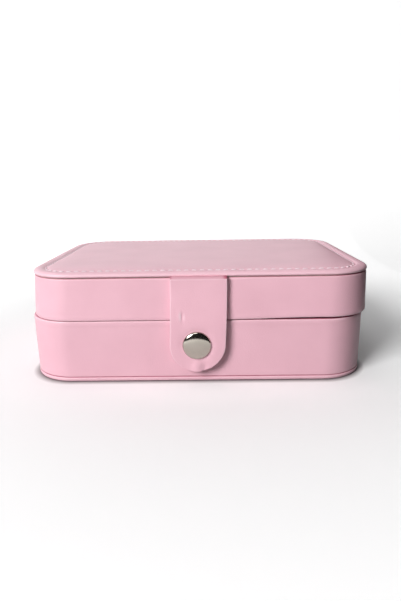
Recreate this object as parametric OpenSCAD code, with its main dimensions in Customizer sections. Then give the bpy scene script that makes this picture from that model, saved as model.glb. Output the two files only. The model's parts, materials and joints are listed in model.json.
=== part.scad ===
// Small hinged jewellery case: board walls covered in soft leather and lined with velvet.
// The lid turns on a leather hinge at the back and shuts with a strap and a press stud.
// Inside are ring rolls, a fixed divider, two dividers that lift out, a row of necklace
// hooks and a gathered pocket.
// The origin is on the floor under the middle of the base. +Z is up, and the strap is on
// the -Y side.

/* [Case] */
// Width of the base, left to right
case_w = 165; // [130:1:240]
// Depth of the base, front to back
case_d = 120; // [100:1:180]
// Height of the base, from the floor to its rim
base_h = 30.5; // [25:0.5:50]
// Height of the lid, from its rim to its top face
lid_h = 22.8; // [18:0.2:40]
// Gap between the two rims when the case is shut
seam_gap = 0.2; // [0.1:0.1:0.5]
// Radius of the four upright corners
corner_r = 22; // [12:0.5:34]

/* [Lid shape] */
// Thickness of the padded top panel
panel_t = 2.6; // [2.4:0.1:5]
// How far the top panel stands in from the outline of the base
panel_in = 0.4; // [0:0.1:2]
// How far the top panel overhangs the lid's band
panel_lip = 0.4; // [0:0.1:2]
// How far the lid's rim stands out past the base
rim_out = 0.5; // [0:0.1:1.5]
// How far the lid sits to the right of the base
lid_shift = 1.2; // [0:0.1:2]

/* [Leather, board and lining] */
// Thickness of the leather skin
skin_t = 0.8; // [0.6:0.1:1.2]
// Thickness of the board in the bands
band_board_t = 2; // [1.5:0.1:3]
// Thickness of the board in the top panel
top_board_t = 1.2; // [0.8:0.1:1.6]
// Thickness of the board in the bottom panel
bottom_board_t = 1.5; // [1:0.1:3]
// Thickness of the velvet lining
lining_t = 1; // [0.9:0.1:2]
// How far the lining stops below a rim
lining_stop = 0.6; // [0.3:0.1:2]
// Thickness of the padded floor
floor_pad_t = 2; // [1:0.5:4]
// Clearance round loose inside pieces
inside_gap = 0.3; // [0.2:0.1:1]

/* [Stitching] */
// Distance from the top panel's edge to its line of stitches
stitch_inset = 5.8; // [4:0.1:10]
// Distance from one stitch to the next
stitch_pitch = 3.7; // [3:0.1:6]
// Length of one stitch
stitch_l = 2.3; // [1.5:0.1:2.6]
// Thickness of the thread
thread_d = 0.6; // [0.4:0.1:0.8]
// Width of the groove that the stitches lie in
groove_w = 1.4; // [1:0.1:2]
// Depth of the groove
groove_depth = 0.4; // [0.2:0.1:0.5]

/* [Hinge] */
// Width of the leather hinge strip
hinge_w = 108; // [60:1:120]
// Height of the strip on each side of the seam
hinge_leaf = 13; // [8:0.5:16]
// Thickness of the hinge strip
hinge_t = 0.8; // [0.6:0.1:1.2]
// Width of the velvet strip inside the hinge
inner_strip_w = 100; // [50:1:110]
// Height of the velvet strip on each side of the seam
inner_strip_leaf = 10; // [6:0.5:14]
// Thickness of the velvet strip
inner_strip_t = 0.6; // [0.4:0.1:1]

/* [Strap] */
// Width of the strap
strap_w = 26.4; // [20:0.2:40]
// Distance from the middle of the base to the middle of the strap
strap_x = 0.8; // [-20:0.1:20]
// Thickness of the strap's outer leather
strap_outer_t = 1.3; // [1:0.1:2]
// Thickness of the strap's backing
strap_inner_t = 0.8; // [0.6:0.1:1.2]
// Gap between the strap's upper end and the lid
strap_root_gap = 0.15; // [0.1:0.05:0.4]
// Height above the press stud where the strap starts to lean towards the lid
strap_flat_l = 7.2; // [6:0.2:9]
// Thickness of the skived tail that is glued into the lid
tail_t = 0.8; // [0.6:0.1:0.9]
// Length of the tail inside the lid
tail_l = 14; // [8:0.5:20]
// Height of the strap's tip above the floor
strap_tip_z = 6.4; // [3:0.1:12]
// Height of the press stud above the floor
snap_z = 19.8; // [17:0.1:21.5]

/* [Press stud] */
// Diameter of the domed cap
cap_d = 13.6; // [10:0.1:16]
// Height of the cap's dome
cap_h = 2.6; // [1.5:0.1:4]
// Height of the cap's straight edge
cap_edge = 0.7; // [0.4:0.1:1.2]
// Diameter of the cap's shank, which goes through the strap
cap_shank_d = 3; // [2:0.1:3.6]
// Diameter of the socket
socket_d = 11.4; // [9:0.1:13]
// Thickness of the socket
socket_t = 2.6; // [2:0.1:3]
// Diameter of the stud's flange
stud_flange_d = 10.4; // [8:0.1:13]
// Thickness of the stud's flange
stud_flange_t = 0.8; // [0.5:0.1:1]
// Diameter of the stud's knob
knob_d = 5; // [4:0.1:6]
// Length of the stud's knob
knob_l = 2; // [1.5:0.1:2.2]
// How far the knob's waist and tip are cut in
knob_waist = 0.5; // [0.2:0.1:0.6]
// Clearance between knob and socket
knob_gap = 0.3; // [0.2:0.05:0.5]
// Thickness of the spring wire in the socket
spring_d = 0.7; // [0.4:0.1:0.8]
// Diameter of the post that holds the stud to the wall
post_d = 2.4; // [1.8:0.1:2.8]
// Diameter of the post's head
post_head_d = 8.6; // [6:0.1:12]
// Thickness of the post's head
post_head_t = 0.6; // [0.4:0.1:1]
// Clearance between a shank and its hole
shank_gap = 0.1; // [0.05:0.05:0.2]
// Gap between the stud's flange and the socket
snap_gap = 0.1; // [0.05:0.05:0.3]

/* [Inside the base] */
// Width of the ring bay, at the left
ring_bay_w = 58; // [40:1:70]
// Height of a ring roll
roll_h = 18; // [14:0.5:20]
// Thickness of the fixed divider
fixed_divider_t = 3; // [2:0.2:5]
// Height of the dividers above the padded floor
divider_h = 23; // [18:0.5:23.5]
// Thickness of a divider that lifts out
lift_divider_t = 2.4; // [2:0.2:4]

/* [Inside the lid] */
// Width of the strip that carries the hooks
hook_strip_w = 112; // [80:1:118]
// Depth of that strip, front to back
hook_strip_d = 11; // [8:0.5:14]
// Thickness of that strip
hook_strip_t = 1.2; // [0.8:0.1:2]
// Distance from the lid's middle to the strip's middle, towards the front
hook_y = 38; // [30:1:40]
// Distance from one hook to the next
hook_pitch = 20; // [14:1:22]
// Thickness of the hook wire
hook_wire_d = 1.6; // [1.2:0.1:2]
// Radius of the hook's bend
hook_bend_r = 1.8; // [1.4:0.1:3]
// Length of the hook's shank, below its plate
hook_shank_l = 2.6; // [2:0.1:4]
// Length of the hook's tip
hook_tip_l = 2.4; // [1.5:0.1:4]
// Diameter of the ball on the hook's tip
hook_ball_d = 2.1; // [1.4:0.1:3]
// Diameter of the hook's plate
hook_plate_d = 6; // [4:0.5:8]
// Thickness of the hook's plate
hook_plate_t = 0.6; // [0.4:0.1:1]
// Diameter of a rivet head on the strip
rivet_d = 4; // [3:0.5:6]
// Diameter of the flat on top of a rivet head
rivet_flat_d = 2.4; // [1:0.1:3]
// Height of a rivet head
rivet_h = 0.9; // [0.5:0.1:1.5]
// Width of the gathered pocket
pocket_w = 118; // [80:1:120]
// Depth of the pocket, from its mouth to its seam
pocket_d = 44; // [30:1:50]
// Thickness of the gathered pocket when it is empty
pocket_t = 3.4; // [2:0.2:4]
// Depth of the elastic hem at the pocket's mouth
hem_d = 5; // [3:0.5:8]
// Thickness of the elastic hem
hem_t = 4; // [2.5:0.1:5]
// Distance from the pocket's seam to the back lining
pocket_back_gap = 5; // [3:0.5:10]

/* [Hidden] */
$fn = 64;
eps = 0.01;
HOOK_COUNT = 5;
ROLL_COUNT = 7;

// Heights of the layers, from the floor up
floor_z = skin_t + bottom_board_t;
pad_z = floor_z + floor_pad_t;
rim_z = base_h + seam_gap;
top_z = rim_z + lid_h;
band_top_z = top_z - panel_t;
ceiling_z = band_top_z - lining_t;
lid_foam_t = panel_t - skin_t - top_board_t;

// Insets from the outside of a wall to its inner layers
board_in = skin_t;
lining_in = skin_t + band_board_t;
room_in = lining_in + lining_t;
room_w = case_w - 2 * room_in;
room_d = case_d - 2 * room_in;
room_r = corner_r - room_in;

// The lid's band leans out from its top to its rim
band_in = panel_in + panel_lip;
band_lean = band_in + rim_out;
band_w = case_w - 2 * band_in;
band_d = case_d - 2 * band_in;
band_r = corner_r - band_in;
panel_w = case_w - 2 * panel_in;
panel_d = case_d - 2 * panel_in;
panel_r = corner_r - panel_in;

// The strap hangs from the lid and stands off the wall by the height of the stud
strap_t = strap_outer_t + strap_inner_t;
wall_y = case_d / 2;
strap_root_y = band_d / 2 + strap_root_gap + strap_t / 2;
strap_root_z = band_top_z - strap_root_gap - strap_t / 2;
snap_face_y = wall_y + stud_flange_t + snap_gap + socket_t;
strap_flat_z = snap_z + strap_flat_l;
STRAP_STEPS = 14;

// The hinge axis runs along X, at the height of the seam and at the outer face of the strip
hinge_x = lid_shift / 2;

// The ring bay is at the left, and the room beside it is split in three. Rolls and the
// fixed divider end in front of the velvet strip inside the hinge.
ring_bay_x = -room_w / 2 + ring_bay_w;
bay_d = room_d - inner_strip_t;
roll_pitch = bay_d / ROLL_COUNT;
roll_w = roll_pitch - inside_gap;
hall_x = ring_bay_x + fixed_divider_t;
hall_w = room_w / 2 - hall_x;
lift_y = room_d / 6;

// ---- Shared shapes ----

// Flat outline with four round corners
module outline(w, d, r) {
    square([w - 2 * r, d], center = true);
    square([w, d - 2 * r], center = true);
    for (x = [-1, 1], y = [-1, 1])
        translate([x * (w / 2 - r), y * (d / 2 - r)])
            circle(r = r);
}

// Upright block with four round corners
module block(w, d, h, r) {
    linear_extrude(h)
        outline(w, d, r);
}

// Four-sided block whose foot stands out past its top by lean on every side
module leaning_block(w, d, h, r, lean) {
    mid_w = w - 2 * r;
    mid_d = d - 2 * r;
    for (x = [-1, 1], y = [-1, 1])
        translate([x * mid_w / 2, y * mid_d / 2, 0])
            cylinder(h = h, r1 = r + lean, r2 = r);
    translate([0, mid_d / 2, 0])
        rotate([90, 0, 0])
            linear_extrude(mid_d)
                trapezium(w / 2 + lean, w / 2, h);
    translate([-mid_w / 2, 0, 0])
        rotate([90, 0, 90])
            linear_extrude(mid_w)
                trapezium(d / 2 + lean, d / 2, h);
}

module trapezium(foot, top, h) {
    polygon([[-foot, 0], [foot, 0], [top, h], [-top, h]]);
}

// Base block between two heights, inset from the outside of the walls
module base_block(inset, from_z, to_z) {
    translate([0, 0, from_z])
        block(case_w - 2 * inset, case_d - 2 * inset, to_z - from_z, corner_r - inset);
}

// How far the lid's band stands out at a height, past its own top edge
function lean_at(z) = band_lean * (band_top_z - z) / (band_top_z - rim_z);

// Lid block between two heights, inset from the outside of the leaning band
module lid_block(inset, from_z, to_z) {
    out = lean_at(to_z) - inset;
    translate([lid_shift, 0, from_z])
        leaning_block(band_w + 2 * out, band_d + 2 * out, to_z - from_z, band_r + out,
            lean_at(from_z) - lean_at(to_z));
}

// Top panel layer, inset from the panel's edge
module panel_block(inset, from_z, to_z) {
    translate([lid_shift, 0, from_z])
        block(panel_w - 2 * inset, panel_d - 2 * inset, to_z - from_z, panel_r - inset);
}

// Cylinder that runs outwards (-Y) through the front wall at the press stud
module stud_axis(d, from_y, to_y) {
    translate([strap_x, -from_y, snap_z])
        rotate([90, 0, 0])
            cylinder(h = to_y - from_y, d = d);
}

// ---- Base ----

// Leather skin round the bottom board, with its edges turned up
module bottom_cover() {
    color("#eebac8")
        difference() {
            base_block(0, 0, floor_z);
            base_block(board_in, skin_t, floor_z + 1);
        }
}

module bottom_board() {
    color("#b9a98f")
        base_block(board_in, skin_t, floor_z);
}

// Board band inside the base wall, with a hole and a recess for the stud's post
module base_frame() {
    color("#c7b79c")
        difference() {
            base_block(board_in, floor_z, base_h - skin_t);
            base_block(lining_in, floor_z - 1, base_h);
            stud_axis(post_d + 2 * shank_gap, wall_y - lining_in - 1, wall_y);
            stud_axis(post_head_d + 2 * shank_gap, wall_y - lining_in - 1,
                wall_y - lining_in + post_head_t);
        }
}

// Leather skin outside the base wall, folded over its rim
module base_cover() {
    color("#f0bfcc")
        difference() {
            base_block(0, floor_z, base_h);
            base_block(board_in, floor_z - 1, base_h - skin_t);
            base_block(lining_in, floor_z, base_h + 1);
            stud_axis(post_d + 2 * shank_gap, wall_y - 2 * skin_t, wall_y + 1);
        }
}

module base_wall_lining() {
    color("#e9c9cf")
        difference() {
            base_block(lining_in, floor_z, base_h - lining_stop);
            base_block(room_in, floor_z - 1, base_h);
        }
}

module base_floor_pad() {
    color("#e4c2c9")
        base_block(room_in + inside_gap, floor_z, pad_z);
}

// Padded wall between the ring bay and the open compartments
module fixed_divider() {
    color("#e4c2c9")
        translate([ring_bay_x, -room_d / 2 + inside_gap, pad_z])
            cube([fixed_divider_t, bay_d - 2 * inside_gap, divider_h]);
}

// Padded roll with a half-round top, cut to the shape of the bay
module ring_roll(index) {
    color("#ecd0d6")
        intersection() {
            translate([-room_w / 2, -room_d / 2 + roll_pitch * (index - 0.5), pad_z])
                rotate([90, 0, 90])
                    linear_extrude(ring_bay_w - inside_gap)
                        roll_section();
            base_block(room_in + inside_gap, pad_z - 1, base_h);
        }
}

module roll_section() {
    body_h = roll_h - roll_w / 2;
    translate([-roll_w / 2, 0])
        square([roll_w, body_h]);
    translate([0, body_h])
        circle(d = roll_w);
}

// Divider that slides up and out; side is -1 at the front and 1 at the rear
module lift_divider(side) {
    color("#e6c6cd")
        translate([hall_x + inside_gap, side * lift_y - lift_divider_t / 2, pad_z])
            cube([hall_w - 2 * inside_gap, lift_divider_t, divider_h]);
}

// Stud on the front wall: a flange and a knob with a waist
module snap_stud() {
    color("#b9b4aa")
        translate([strap_x, -wall_y, snap_z])
            rotate([90, 0, 0])
                difference() {
                    rotate_extrude()
                        stud_section();
                    translate([0, 0, -1])
                        cylinder(h = 1 + stud_flange_t + knob_l / 2, d = post_d + 2 * shank_gap);
                }
}

// Half section of the stud: the knob narrows to a waist at the flange and again at its tip
module stud_section() {
    knob_r = knob_d / 2;
    waist_r = knob_r - knob_waist;
    tip_z = stud_flange_t + knob_l;
    polygon([[0, 0], [stud_flange_d / 2, 0], [stud_flange_d / 2, stud_flange_t],
        [waist_r, stud_flange_t], [waist_r, stud_flange_t + knob_l / 4],
        [knob_r, stud_flange_t + knob_l / 2], [knob_r, tip_z - knob_l / 4],
        [waist_r, tip_z], [0, tip_z]]);
}

// Post from inside the wall: its head is in the board's recess and its end is in the stud
module snap_post() {
    head_y = wall_y - lining_in;
    color("#a9a49a") {
        stud_axis(post_head_d, head_y, head_y + post_head_t);
        stud_axis(post_d, head_y + post_head_t / 2, wall_y + stud_flange_t + knob_l / 3);
    }
}

// ---- Hinge ----

module hinge_strip_lower() {
    color("#ebb6c5")
        translate([hinge_x - hinge_w / 2, wall_y, base_h - hinge_leaf])
            cube([hinge_w, hinge_t, hinge_leaf]);
}

// Upper half of the strip, which lies on the leaning band
module hinge_strip_upper() {
    color("#ebb6c5")
        intersection() {
            difference() {
                lid_block(-hinge_t, rim_z, rim_z + hinge_leaf);
                lid_block(0, rim_z - 1, rim_z + hinge_leaf + 1);
            }
            translate([hinge_x - hinge_w / 2, 0, rim_z])
                cube([hinge_w, case_d, hinge_leaf]);
        }
}

module hinge_lining_lower() {
    color("#dfb9c1")
        translate([hinge_x - inner_strip_w / 2, room_d / 2 - inner_strip_t,
                base_h - lining_stop - inner_strip_leaf])
            cube([inner_strip_w, inner_strip_t, inner_strip_leaf]);
}

module hinge_lining_upper() {
    from_z = rim_z + lining_stop;
    color("#dfb9c1")
        intersection() {
            difference() {
                lid_block(room_in, from_z, from_z + inner_strip_leaf);
                lid_block(room_in + inner_strip_t, from_z - 1, from_z + inner_strip_leaf + 1);
            }
            translate([hinge_x - inner_strip_w / 2, 0, from_z])
                cube([inner_strip_w, case_d, inner_strip_leaf]);
        }
}

// ---- Lid ----

// Slot under the top panel where the strap's tail enters the lid
module tail_slot() {
    translate([strap_x - strap_w / 2, -case_d / 2 - 1, band_top_z - tail_t])
        cube([strap_w, tail_l + 1 + case_d / 2 - band_d / 2, tail_t + eps]);
}

module lid_frame() {
    color("#c7b79c")
        difference() {
            lid_block(board_in, rim_z + skin_t, band_top_z);
            lid_block(lining_in, rim_z, band_top_z + 1);
            tail_slot();
        }
}

// Leather skin outside the lid's band, folded under its rim
module lid_cover() {
    color("#f3c4d1")
        difference() {
            lid_block(0, rim_z, band_top_z);
            lid_block(board_in, rim_z + skin_t, band_top_z + 1);
            lid_block(lining_in, rim_z - 1, rim_z + 2 * skin_t);
            tail_slot();
        }
}

module lid_top_board() {
    color("#b9a98f")
        panel_block(board_in, band_top_z, band_top_z + top_board_t);
}

module lid_top_foam() {
    color("#f4efe2")
        panel_block(board_in, band_top_z + top_board_t, band_top_z + top_board_t + lid_foam_t);
}

// Leather over the top panel, with its edges turned down and a groove for the stitches
module lid_top_cover() {
    color("#e2b9c4")
        difference() {
            panel_block(0, band_top_z, top_z);
            panel_block(board_in, band_top_z - 1, top_z - skin_t);
            difference() {
                panel_block(stitch_inset - groove_w / 2, top_z - groove_depth, top_z + 1);
                panel_block(stitch_inset + groove_w / 2, top_z - 2, top_z + 2);
            }
        }
}

// Place and heading on the line of stitches, at a share of its whole length
line_r = panel_r - stitch_inset;
line_w = panel_w - 2 * panel_r;
line_d = panel_d - 2 * panel_r;
line_arc = PI * line_r / 2;
line_l = 2 * line_w + 2 * line_d + 4 * line_arc;
STITCHES = round(line_l / stitch_pitch);

// One quarter of the line is half a side, a corner and half of the next side
function along_quarter(s, side, next) =
    s < side / 2 ? [s, next / 2 + line_r, 0]
    : s < side / 2 + line_arc ? along_corner((s - side / 2) / line_r * 180 / PI, side, next)
    : [side / 2 + line_r, next / 2 - (s - side / 2 - line_arc), -90];
function along_corner(turn, side, next) =
    [side / 2 + line_r * sin(turn), next / 2 + line_r * cos(turn), -turn];

module lid_top_stitching() {
    color("#f4d3dc")
        for (i = [0 : STITCHES - 1]) {
            s = (i + 0.5) * line_l / STITCHES;
            quarter_l = line_l / 4;
            quarter = floor(s / quarter_l);
            odd = quarter % 2 == 1;
            side = odd ? line_d : line_w;
            next = odd ? line_w : line_d;
            p = along_quarter(s - quarter * quarter_l, side, next);
            translate([lid_shift, 0, top_z - groove_depth])
                rotate([0, 0, -90 * quarter])
                    translate([p[0], p[1], thread_d / 2])
                        rotate([0, 0, p[2]])
                            cube([stitch_l, thread_d, thread_d], center = true);
        }
}

module lid_ceiling_lining() {
    color("#e9c9cf")
        difference() {
            lid_block(lining_in, ceiling_z, band_top_z);
            tail_slot();
        }
}

module lid_wall_lining() {
    color("#e9c9cf")
        difference() {
            lid_block(lining_in, rim_z + lining_stop, ceiling_z);
            lid_block(room_in, rim_z, ceiling_z + 1);
        }
}

// Gathered pocket on the lid's ceiling, nearer to the hinge
pocket_back_y = band_d / 2 - room_in - pocket_back_gap;
module lid_pocket() {
    color("#dcb4bd")
        translate([lid_shift - pocket_w / 2, pocket_back_y - pocket_d + hem_d, ceiling_z - pocket_t])
            cube([pocket_w, pocket_d - hem_d, pocket_t]);
}

module pocket_elastic() {
    color("#d3a7b2")
        translate([lid_shift - pocket_w / 2, pocket_back_y - pocket_d, ceiling_z - hem_t])
            cube([pocket_w, hem_d, hem_t]);
}

module hook_strip() {
    color("#eebac8")
        translate([lid_shift - hook_strip_w / 2, -hook_y - hook_strip_d / 2,
                ceiling_z - hook_strip_t])
            cube([hook_strip_w, hook_strip_d, hook_strip_t]);
}

// Each hook has a plate, a shank, a bend and a tip that points away from the hinge
module necklace_hooks() {
    color("#d8b0a0")
        for (i = [0 : HOOK_COUNT - 1])
            translate([lid_shift + (i - (HOOK_COUNT - 1) / 2) * hook_pitch, -hook_y,
                    ceiling_z - hook_strip_t])
                hook();
}

module hook() {
    drop = hook_plate_t + hook_shank_l;
    translate([0, 0, -hook_plate_t])
        cylinder(h = hook_plate_t, d = hook_plate_d);
    translate([0, 0, -drop])
        cylinder(h = hook_shank_l + eps, d = hook_wire_d);
    translate([0, -hook_bend_r, -drop])
        rotate([0, 90, 0])
            rotate_extrude(angle = 90)
                translate([hook_bend_r, 0])
                    circle(d = hook_wire_d);
    translate([0, -hook_bend_r, -drop - hook_bend_r])
        rotate([90, 0, 0])
            cylinder(h = hook_tip_l, d = hook_wire_d);
    translate([0, -hook_bend_r - hook_tip_l, -drop - hook_bend_r])
        sphere(d = hook_ball_d);
}

module hook_rivets() {
    color("#c9c3b8")
        for (side = [-1, 1])
            translate([lid_shift + side * (hook_strip_w / 2 - rivet_d), -hook_y,
                    ceiling_z - hook_strip_t - rivet_h])
                cylinder(h = rivet_h, d1 = rivet_flat_d, d2 = rivet_d);
}

// Thin end of the strap, glued between the band and the top board
module strap_tail() {
    color("#ecb7c6")
        translate([strap_x - strap_w / 2 + inside_gap, -band_d / 2, band_top_z - tail_t])
            cube([strap_w - 2 * inside_gap, tail_l - inside_gap, tail_t]);
}

// ---- Strap ----

// Distance from the middle of the case to the strap's back face, at a height
function strap_back(z) =
    let (u = min(1, max(0, (strap_root_z - z) / (strap_root_z - strap_flat_z))))
    strap_root_y - strap_t / 2
        + (snap_face_y - strap_root_y + strap_t / 2) * u * u * (3 - 2 * u);

// Side view of one layer, from a depth to a depth measured out from the strap's back face
module strap_layer(from_t, to_t) {
    heights = [for (i = [0 : STRAP_STEPS])
        strap_root_z + (strap_flat_z - strap_root_z) * i / STRAP_STEPS];
    all_z = concat(heights, [strap_tip_z - 1]);
    rotate([90, 0, 90])
        translate([0, 0, strap_x - strap_w / 2])
            linear_extrude(strap_w)
                polygon(concat(
                    [for (z = all_z) [-strap_back(z) - from_t, z]],
                    [for (i = [len(all_z) - 1 : -1 : 0])
                        [-strap_back(all_z[i]) - to_t, all_z[i]]]));
}

// Front view of the strap: straight sides and a half-round tip
module strap_front() {
    tip_r = strap_w / 2;
    translate([strap_x, 0, 0])
        rotate([90, 0, 0])
            linear_extrude(case_d) {
                translate([-tip_r, strap_tip_z + tip_r])
                    square([strap_w, top_z]);
                translate([0, strap_tip_z + tip_r])
                    circle(r = tip_r);
            }
}

// Half-round upper end of one layer, centred on the axis that the strap swings about
module strap_end(from_t, to_t) {
    translate([strap_x - strap_w / 2, -strap_root_y, strap_root_z])
        rotate([0, 90, 0])
            intersection() {
                cylinder(h = strap_w, d = strap_t);
                translate([-strap_t, strap_t / 2 - to_t, 0])
                    cube([strap_t, to_t - from_t, strap_w]);
            }
}

module strap_hole() {
    stud_axis(cap_shank_d + 2 * shank_gap, snap_face_y - 1, snap_face_y + strap_t + 1);
}

module strap_outer() {
    color("#f2c0cd") {
        strap_end(strap_inner_t, strap_t);
        difference() {
            intersection() {
                strap_layer(strap_inner_t, strap_t);
                strap_front();
            }
            strap_hole();
        }
    }
}

module strap_inner() {
    color("#e3aebc") {
        strap_end(0, strap_inner_t);
        difference() {
            intersection() {
                strap_layer(0, strap_inner_t);
                strap_front();
            }
            strap_hole();
        }
    }
}

// Domed cap with a shank through the strap
module snap_cap() {
    dome_r = (pow(cap_d / 2, 2) + pow(cap_h - cap_edge, 2)) / (2 * (cap_h - cap_edge));
    face_y = snap_face_y + strap_t;
    color("#aaa69c") {
        translate([strap_x, -face_y, snap_z])
            rotate([90, 0, 0]) {
                cylinder(h = cap_edge, d = cap_d);
                intersection() {
                    translate([0, 0, cap_h - dome_r])
                        sphere(r = dome_r);
                    translate([0, 0, cap_edge / 2])
                        cylinder(h = cap_h, d = cap_d);
                }
            }
        stud_axis(cap_shank_d, snap_face_y - socket_lid_t / 2, face_y + eps);
    }
}

// The socket's closed end carries the shank, and its open end takes the knob
socket_lid_t = 0.5;
module snap_socket() {
    color("#b9b4aa")
        translate([strap_x, -(snap_face_y - socket_t), snap_z])
            rotate([90, 0, 0])
                difference() {
                    cylinder(h = socket_t, d = socket_d);
                    translate([0, 0, -1])
                        cylinder(h = 1 + socket_t - socket_lid_t, d = knob_d + 2 * knob_gap);
                    cylinder(h = socket_t + 1, d = cap_shank_d + 2 * shank_gap);
                    translate([0, 0, socket_t / 2 - spring_d / 2 - shank_gap])
                        cylinder(h = spring_d + 2 * shank_gap,
                            d = knob_d + 2 * knob_gap + 2 * spring_d + 2 * shank_gap);
                }
}

module snap_spring() {
    color("#8d8a84")
        translate([strap_x, -(snap_face_y - socket_t / 2), snap_z])
            rotate([90, 0, 0])
                rotate_extrude()
                    translate([knob_d / 2 + knob_gap + spring_d / 2, 0])
                        circle(d = spring_d, $fn = 24);
}

// ---- Nodes ----

bottom_cover();
bottom_board();
base_frame();
base_cover();
base_wall_lining();
base_floor_pad();
fixed_divider();
ring_roll(1);  // ring_roll_1
ring_roll(2);  // ring_roll_2
ring_roll(3);  // ring_roll_3
ring_roll(4);  // ring_roll_4
ring_roll(5);  // ring_roll_5
ring_roll(6);  // ring_roll_6
ring_roll(7);  // ring_roll_7
lift_divider(-1);  // lift_divider_front
lift_divider(1);  // lift_divider_rear
snap_stud();
snap_post();
hinge_strip_lower();
hinge_strip_upper();
hinge_lining_lower();
hinge_lining_upper();
lid_frame();
lid_cover();
lid_top_board();
lid_top_foam();
lid_top_cover();
lid_top_stitching();
lid_ceiling_lining();
lid_wall_lining();
lid_pocket();
pocket_elastic();
hook_strip();
necklace_hooks();
hook_rivets();
strap_tail();
strap_outer();
strap_inner();
snap_cap();
snap_socket();
snap_spring();
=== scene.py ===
"""Small leather jewellery case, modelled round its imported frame.

The add-on makes the leather, velvet, thread and metal pieces that cover the frame, and a
studio with a camera. Sizes are in metres, and places come from the frame.
"""

import json
import math

import bmesh
import bpy
from bpy.props import FloatProperty, FloatVectorProperty, IntProperty, PointerProperty
from mathutils import Matrix, Vector, noise
from mathutils.kdtree import KDTree


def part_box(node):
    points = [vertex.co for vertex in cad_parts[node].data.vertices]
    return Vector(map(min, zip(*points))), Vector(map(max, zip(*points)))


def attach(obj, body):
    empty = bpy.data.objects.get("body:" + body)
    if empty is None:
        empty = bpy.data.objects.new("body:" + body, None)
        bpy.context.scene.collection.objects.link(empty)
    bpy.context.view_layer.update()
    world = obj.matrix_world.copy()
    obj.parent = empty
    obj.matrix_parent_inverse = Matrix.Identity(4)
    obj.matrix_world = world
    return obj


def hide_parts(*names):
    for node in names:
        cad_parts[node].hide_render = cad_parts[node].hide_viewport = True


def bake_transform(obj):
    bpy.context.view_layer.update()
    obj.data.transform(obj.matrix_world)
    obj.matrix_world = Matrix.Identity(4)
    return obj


bl_info = {
    "name": "Leather jewellery case",
    "version": (1, 0, 0),
    "blender": (4, 5, 0),
    "location": "View3D > Sidebar > Jewellery case",
    "description": "Models a padded leather jewellery case with a snap strap and velvet inside",
    "category": "Add Mesh",
}

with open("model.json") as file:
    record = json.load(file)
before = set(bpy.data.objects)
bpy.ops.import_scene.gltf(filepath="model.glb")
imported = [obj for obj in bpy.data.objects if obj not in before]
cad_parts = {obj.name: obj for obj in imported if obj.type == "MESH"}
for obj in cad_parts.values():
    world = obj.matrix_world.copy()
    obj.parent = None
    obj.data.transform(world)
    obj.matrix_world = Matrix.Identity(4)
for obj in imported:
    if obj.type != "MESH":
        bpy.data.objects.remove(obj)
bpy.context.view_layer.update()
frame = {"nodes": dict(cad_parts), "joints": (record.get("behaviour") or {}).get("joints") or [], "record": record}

MM = 0.001
JOINTS = {joint["name"]: joint for joint in frame["joints"]}
HINGE = Vector(JOINTS["lid_hinge"]["pos_m"])
STRAP_ROOT = Vector(JOINTS["strap_swing"]["pos_m"])
SLOT_COLOURS = {m["slot"]: m["base_color"][:3] for m in frame["record"]["materials"]}
TOP_LOW, TOP_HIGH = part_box("lid_top_cover")
BAND_LOW, BAND_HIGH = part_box("lid_cover")
BASE_LOW, BASE_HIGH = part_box("base_cover")
ROOM_LOW, ROOM_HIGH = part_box("base_wall_lining")
STRAP_LOW, STRAP_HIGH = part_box("strap_outer")
CAP_LOW, CAP_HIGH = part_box("snap_cap")
CAP_MIDDLE = (CAP_LOW + CAP_HIGH) / 2
TOP_SIZE, TOP_MIDDLE = TOP_HIGH - TOP_LOW, (TOP_HIGH + TOP_LOW) / 2
RING_COUNT, WALL_COUNT, PAD_COUNT = 532, 440, 360  # points round the shell, a lining and a pad
QUARTER_TURN = [math.radians(90 * step / 12) for step in range(13)]


# ---- Sizes and colours that a user would change ----


class CaseLeather(bpy.types.PropertyGroup):
    """Leather shell of the case."""

    colour: FloatVectorProperty(
        name="Leather colour", description="Colour of the leather, as linear red, green and blue",
        subtype="COLOR", size=3, min=0, max=1, default=(0.84, 0.48, 0.565),
    )
    skin: FloatProperty(
        name="Skin thickness", description="Thickness of the leather skin", unit="LENGTH",
        default=0.8 * MM,
    )
    corner: FloatProperty(
        name="Corner radius", description="Radius of the upright corners of the base",
        unit="LENGTH", default=22 * MM,
    )
    rim_round: FloatProperty(
        name="Rim rounding", description="Radius of the leather where it folds over a rim",
        unit="LENGTH", default=0.7 * MM,
    )
    crown: FloatProperty(
        name="Padding height", description="How far the middle of the top panel stands up",
        unit="LENGTH", default=0.5 * MM,
    )
    groove: FloatProperty(
        name="Stitch line inset", description="Distance from the top panel's edge to its stitches",
        unit="LENGTH", default=5.8 * MM,
    )


class CaseStitching(bpy.types.PropertyGroup):
    """Thread on the top panel."""

    colour: FloatVectorProperty(
        name="Thread colour", description="Colour of the thread, as linear red, green and blue",
        subtype="COLOR", size=3, min=0, max=1, default=(0.925, 0.685, 0.755),
    )
    pitch: FloatProperty(
        name="Stitch pitch", description="Distance from one stitch to the next", unit="LENGTH",
        default=3.7 * MM,
    )
    length: FloatProperty(
        name="Stitch length", description="Length of thread that shows in one stitch",
        unit="LENGTH", default=2.8 * MM,
    )
    thickness: FloatProperty(
        name="Thread thickness", description="Diameter of the thread", unit="LENGTH",
        default=0.72 * MM,
    )


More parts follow.
